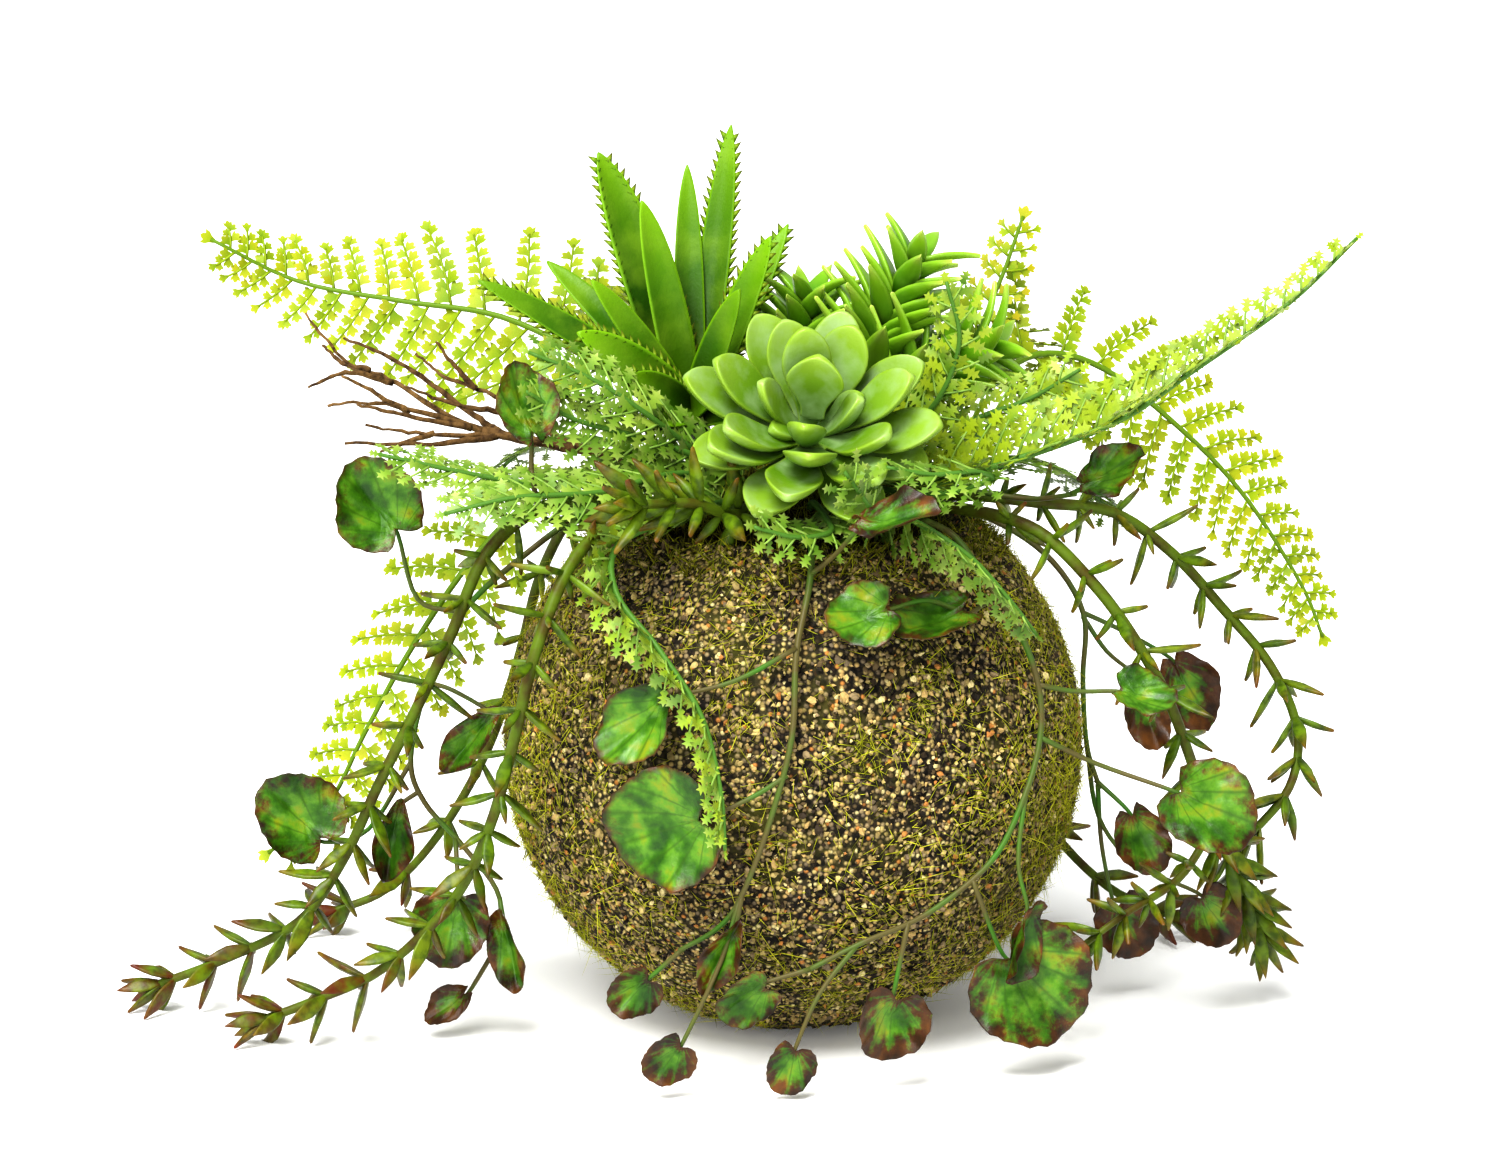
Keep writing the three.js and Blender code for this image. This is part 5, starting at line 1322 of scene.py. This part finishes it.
def grow_ball_fibres(shape, total, length, radius, tones):
    """Moss strands that lie over the grit, thicker in patches and at the two sides."""
    growth = Growth()
    points, outward = ball_points(3 * total)
    mossy = np.array([moss_share(point) for point in points])
    kept = np.flatnonzero(draw.random(len(points)) < mossy)[:total]
    points, outward = points[kept], outward[kept]
    count = len(points)
    heading = flat_headings(outward)
    tilt = np.abs(draw.normal(0.05, 0.34, count))
    lengths = length * draw.lognormal(-0.35, 0.45, count)
    radii = radius * draw.uniform(0.7, 1.4, count)
    matrices = spikes(outward, heading, tilt, lengths, radii)
    low = points[:, 2] + matrices[:, 2, 0] < 1
    matrices[low, 2, 0] = np.abs(matrices[low, 2, 0])
    growth.scatter(shape, matrices, points + outward * 0.2, tone=draw.uniform(*tones, count))
    return growth


def mound_points(count):
    """Random points on the soil mound."""
    ring = SOIL_EDGE_RADIUS * np.sqrt(draw.random(count))
    azimuth = draw.uniform(0, 2 * math.pi, count)
    return np.column_stack([ring * np.cos(azimuth), ring * np.sin(azimuth), soil_height(ring)])


def grow_mound():
    """The soil ball with its crumbly mound."""
    growth = Growth()
    shares = (0.97, 0.9, 0.8, 0.68, 0.55, 0.42, 0.28, 0.14, 0)
    mound = [(share * SOIL_EDGE_RADIUS, soil_height(share * SOIL_EDGE_RADIUS)) for share in shares]
    ball = ball_arc(SOIL_RADIUS, 0, SOIL_EDGE_RADIUS, stations=16)
    corners, faces = spun([*ball, *mound], steps=60)
    growth.add(lumps(corners, size=5, height=0.5), faces)
    for kind in GRAIN_KINDS:
        count = MOUND_CRUMBS // len(GRAIN_KINDS)
        sizes = draw.uniform(0.5, 1.5, count)
        growth.scatter(kind, random_turns(count) * sizes[:, None, None], mound_points(count), smooth=False)
    return growth


def grow_mound_moss():
    """Short moss that covers the mound and the ball's lip."""
    growth = Growth()
    lip, lip_outward = ball_points(3 * MOUND_TUFTS)
    on_lip = np.flatnonzero(lip[:, 2] > CENTRE_Z + LIP_RISE)[: MOUND_TUFTS // 3]
    mound = mound_points(MOUND_TUFTS)
    points = np.vstack([lip[on_lip], mound])
    upward = np.array([0, 0, 1]) + (mound - BALL_CENTRE) / MOUND_LEAN
    outward = np.vstack([lip_outward[on_lip], units(upward)])
    count = len(points)
    heading = flat_headings(outward)
    tilt = draw.uniform(0.5, 1.5, count)
    lengths = draw.uniform(2, 5.5, count)
    radii = draw.uniform(0.16, 0.32, count)
    growth.scatter(STRAND, spikes(outward, heading, tilt, lengths, radii), points,
                   tone=draw.uniform(0, 0.5, count))
    return growth


# The pieces

fibre = moss_fibre()
grit = grit_stone()
grow_ball().build("moss_ball", "moss_skin", "moss_grit", [ball_matrix()])
grow_grit(GRAIN_KINDS, GRAINS, GRAIN_RADIUS).build("ball_grit", "moss_skin", "moss_grit", [grit])
grow_grit(SAND_KINDS, SAND_GRAINS, SAND_RADIUS).build("ball_sand", "moss_skin", "moss_grit", [grit])
grown = grow_ball_fibres(STRAND, BALL_FIBRES, FIBRE_LENGTH, FIBRE_RADIUS, (0, 0.9))
grown.build("ball_fibres", "moss_skin", "moss_grit", [fibre])
grown = grow_ball_fibres(FINE_STRAND, FINE_STRANDS, FINE_LENGTH, FINE_RADIUS, (0.5, 1))
grown.build("ball_moss_strands", "moss_skin", "moss_grit", [fibre])
grow_mound().build("soil_mound", "soil_core", "soil", [damp_soil()])
grow_mound_moss().build("mound_moss", "soil_core", "soil", [fibre])

yellow_finishes = [yellow_fern_leaflet(), fern_rachis("yellow_fern_rachis", "#5c7a10", "#80940c")]
pale_finishes = [pale_fern_leaflet(), fern_rachis("pale_fern_rachis", "#4c7428", "#84a048")]
# The plants with several pieces: their pieces' and nodes' names, material slot and finishes
PLANTS = [
    (partial(grow_frond, YELLOW_KIND), YELLOW_FRONDS, "yellow_frond", "fern_yellow", "fern_yellow",
     yellow_finishes),
    (partial(grow_frond, PALE_KIND), PALE_FRONDS, "pale_frond", "fern_pale", "fern_pale", pale_finishes),
    (grow_sedum, SEDUMS, "sedum_shoot", "sedum", "sedum_green", [sedum_leaf(), sedum_stem()]),
    (grow_vine, VINES, "vine_shoot", "vine", "vine_leaf", [vine_leaf(), vine_stem()]),
    (grow_finger_stem, FINGER_STEMS, "finger_shoot", "finger_stem", "finger_green", [finger_leaf()]),
]
for grow, specs, piece, node, slot, finishes in PLANTS:
    for number, spec in enumerate(specs, 1):
        grow(**spec).build(f"{piece}_{number}", f"{node}_{number}", slot, finishes)
grow_rosette().build("rosette_head", "rosette", "rosette_green", [rosette_petal()])
grow_aloe().build("aloe_head", "aloe", "aloe_green", [aloe_blade(), aloe_tooth()])
grow_twigs().build("dry_twigs", "twig_bunch", "twig", [twig_bark()])


# The studio, in metres

FLOOR_SIZE = 60
SKY_PLACE = (-0.28, -0.62, 1.2)
SKY_AIM = (0, 0, 0.1)
SKY_SPREAD = math.radians(30)
SOFTBOX_PLACE = (-0.4, -1.1, 0.6)
SOFTBOX_AIM = (0, 0, 0.12)
SOFTBOX_SIZE = 0.5
CAMERA_PLACE = (-0.009806, -0.88249, 0.25658)
CAMERA_ELEVATION = 10
LENS_MM = 95
SENSOR_MM = 36


def add_floor():
    """A matte white floor that glows a little: painted light that pales the shadows on it and lights the
    ball from below.
    """
    bm = bmesh.new()
    bmesh.ops.create_grid(bm, x_segments=1, y_segments=1, size=FLOOR_SIZE / 2)
    mesh = bpy.data.meshes.new("studio_floor")
    bm.to_mesh(mesh)
    bm.free()
    material, _ = new_material("matte_white_floor_with_painted_glow")
    bsdf = material.node_tree.nodes["Principled BSDF"]
    bsdf.inputs["Base Color"].default_value = linear("#f6f6f5")
    bsdf.inputs["Roughness"].default_value = 0.9
    # The faint glow is painted light, not a lamp
    bsdf.inputs["Emission Color"].default_value = linear("#ffffff")
    bsdf.inputs["Emission Strength"].default_value = 0.1
    mesh.materials.append(material)
    floor = bpy.data.objects.new("studio_floor", mesh)
    bpy.context.scene.collection.objects.link(floor)


def add_light(name, kind, energy, place, aim, **settings):
    light = bpy.data.lights.new(name, kind)
    light.energy = energy
    for setting, value in settings.items():
        setattr(light, setting, value)
    lamp = bpy.data.objects.new(name, light)
    lamp.location = place
    lamp.rotation_euler = (Vector(aim) - Vector(place)).to_track_quat("-Z", "Y").to_euler()
    bpy.context.scene.collection.objects.link(lamp)


def add_studio():
    add_floor()
    world = bpy.data.worlds.new("white_studio")
    world.use_nodes = True
    background = world.node_tree.nodes["Background"]
    background.inputs["Color"].default_value = linear("#ffffff")
    background.inputs["Strength"].default_value = 0.6
    bpy.context.scene.world = world
    add_light("high_soft_sky", "SUN", 5.2, SKY_PLACE, SKY_AIM, angle=SKY_SPREAD)
    add_light("front_softbox", "AREA", 8, SOFTBOX_PLACE, SOFTBOX_AIM, shape="SQUARE", size=SOFTBOX_SIZE)
    view = bpy.context.scene.view_settings
    view.view_transform = "Standard"
    view.gamma = 0.82
    view.exposure = 0.1


def add_camera():
    """A long lens in front of the ball and a little above it, as the photograph was taken."""
    camera = bpy.data.objects.new("camera", bpy.data.cameras.new("camera"))
    camera.data.lens = LENS_MM
    camera.data.sensor_width = SENSOR_MM
    camera.location = CAMERA_PLACE
    camera.rotation_euler = (math.radians(90 - CAMERA_ELEVATION), 0, 0)
    bpy.context.scene.collection.objects.link(camera)
    bpy.context.scene.camera = camera


add_studio()
add_camera()
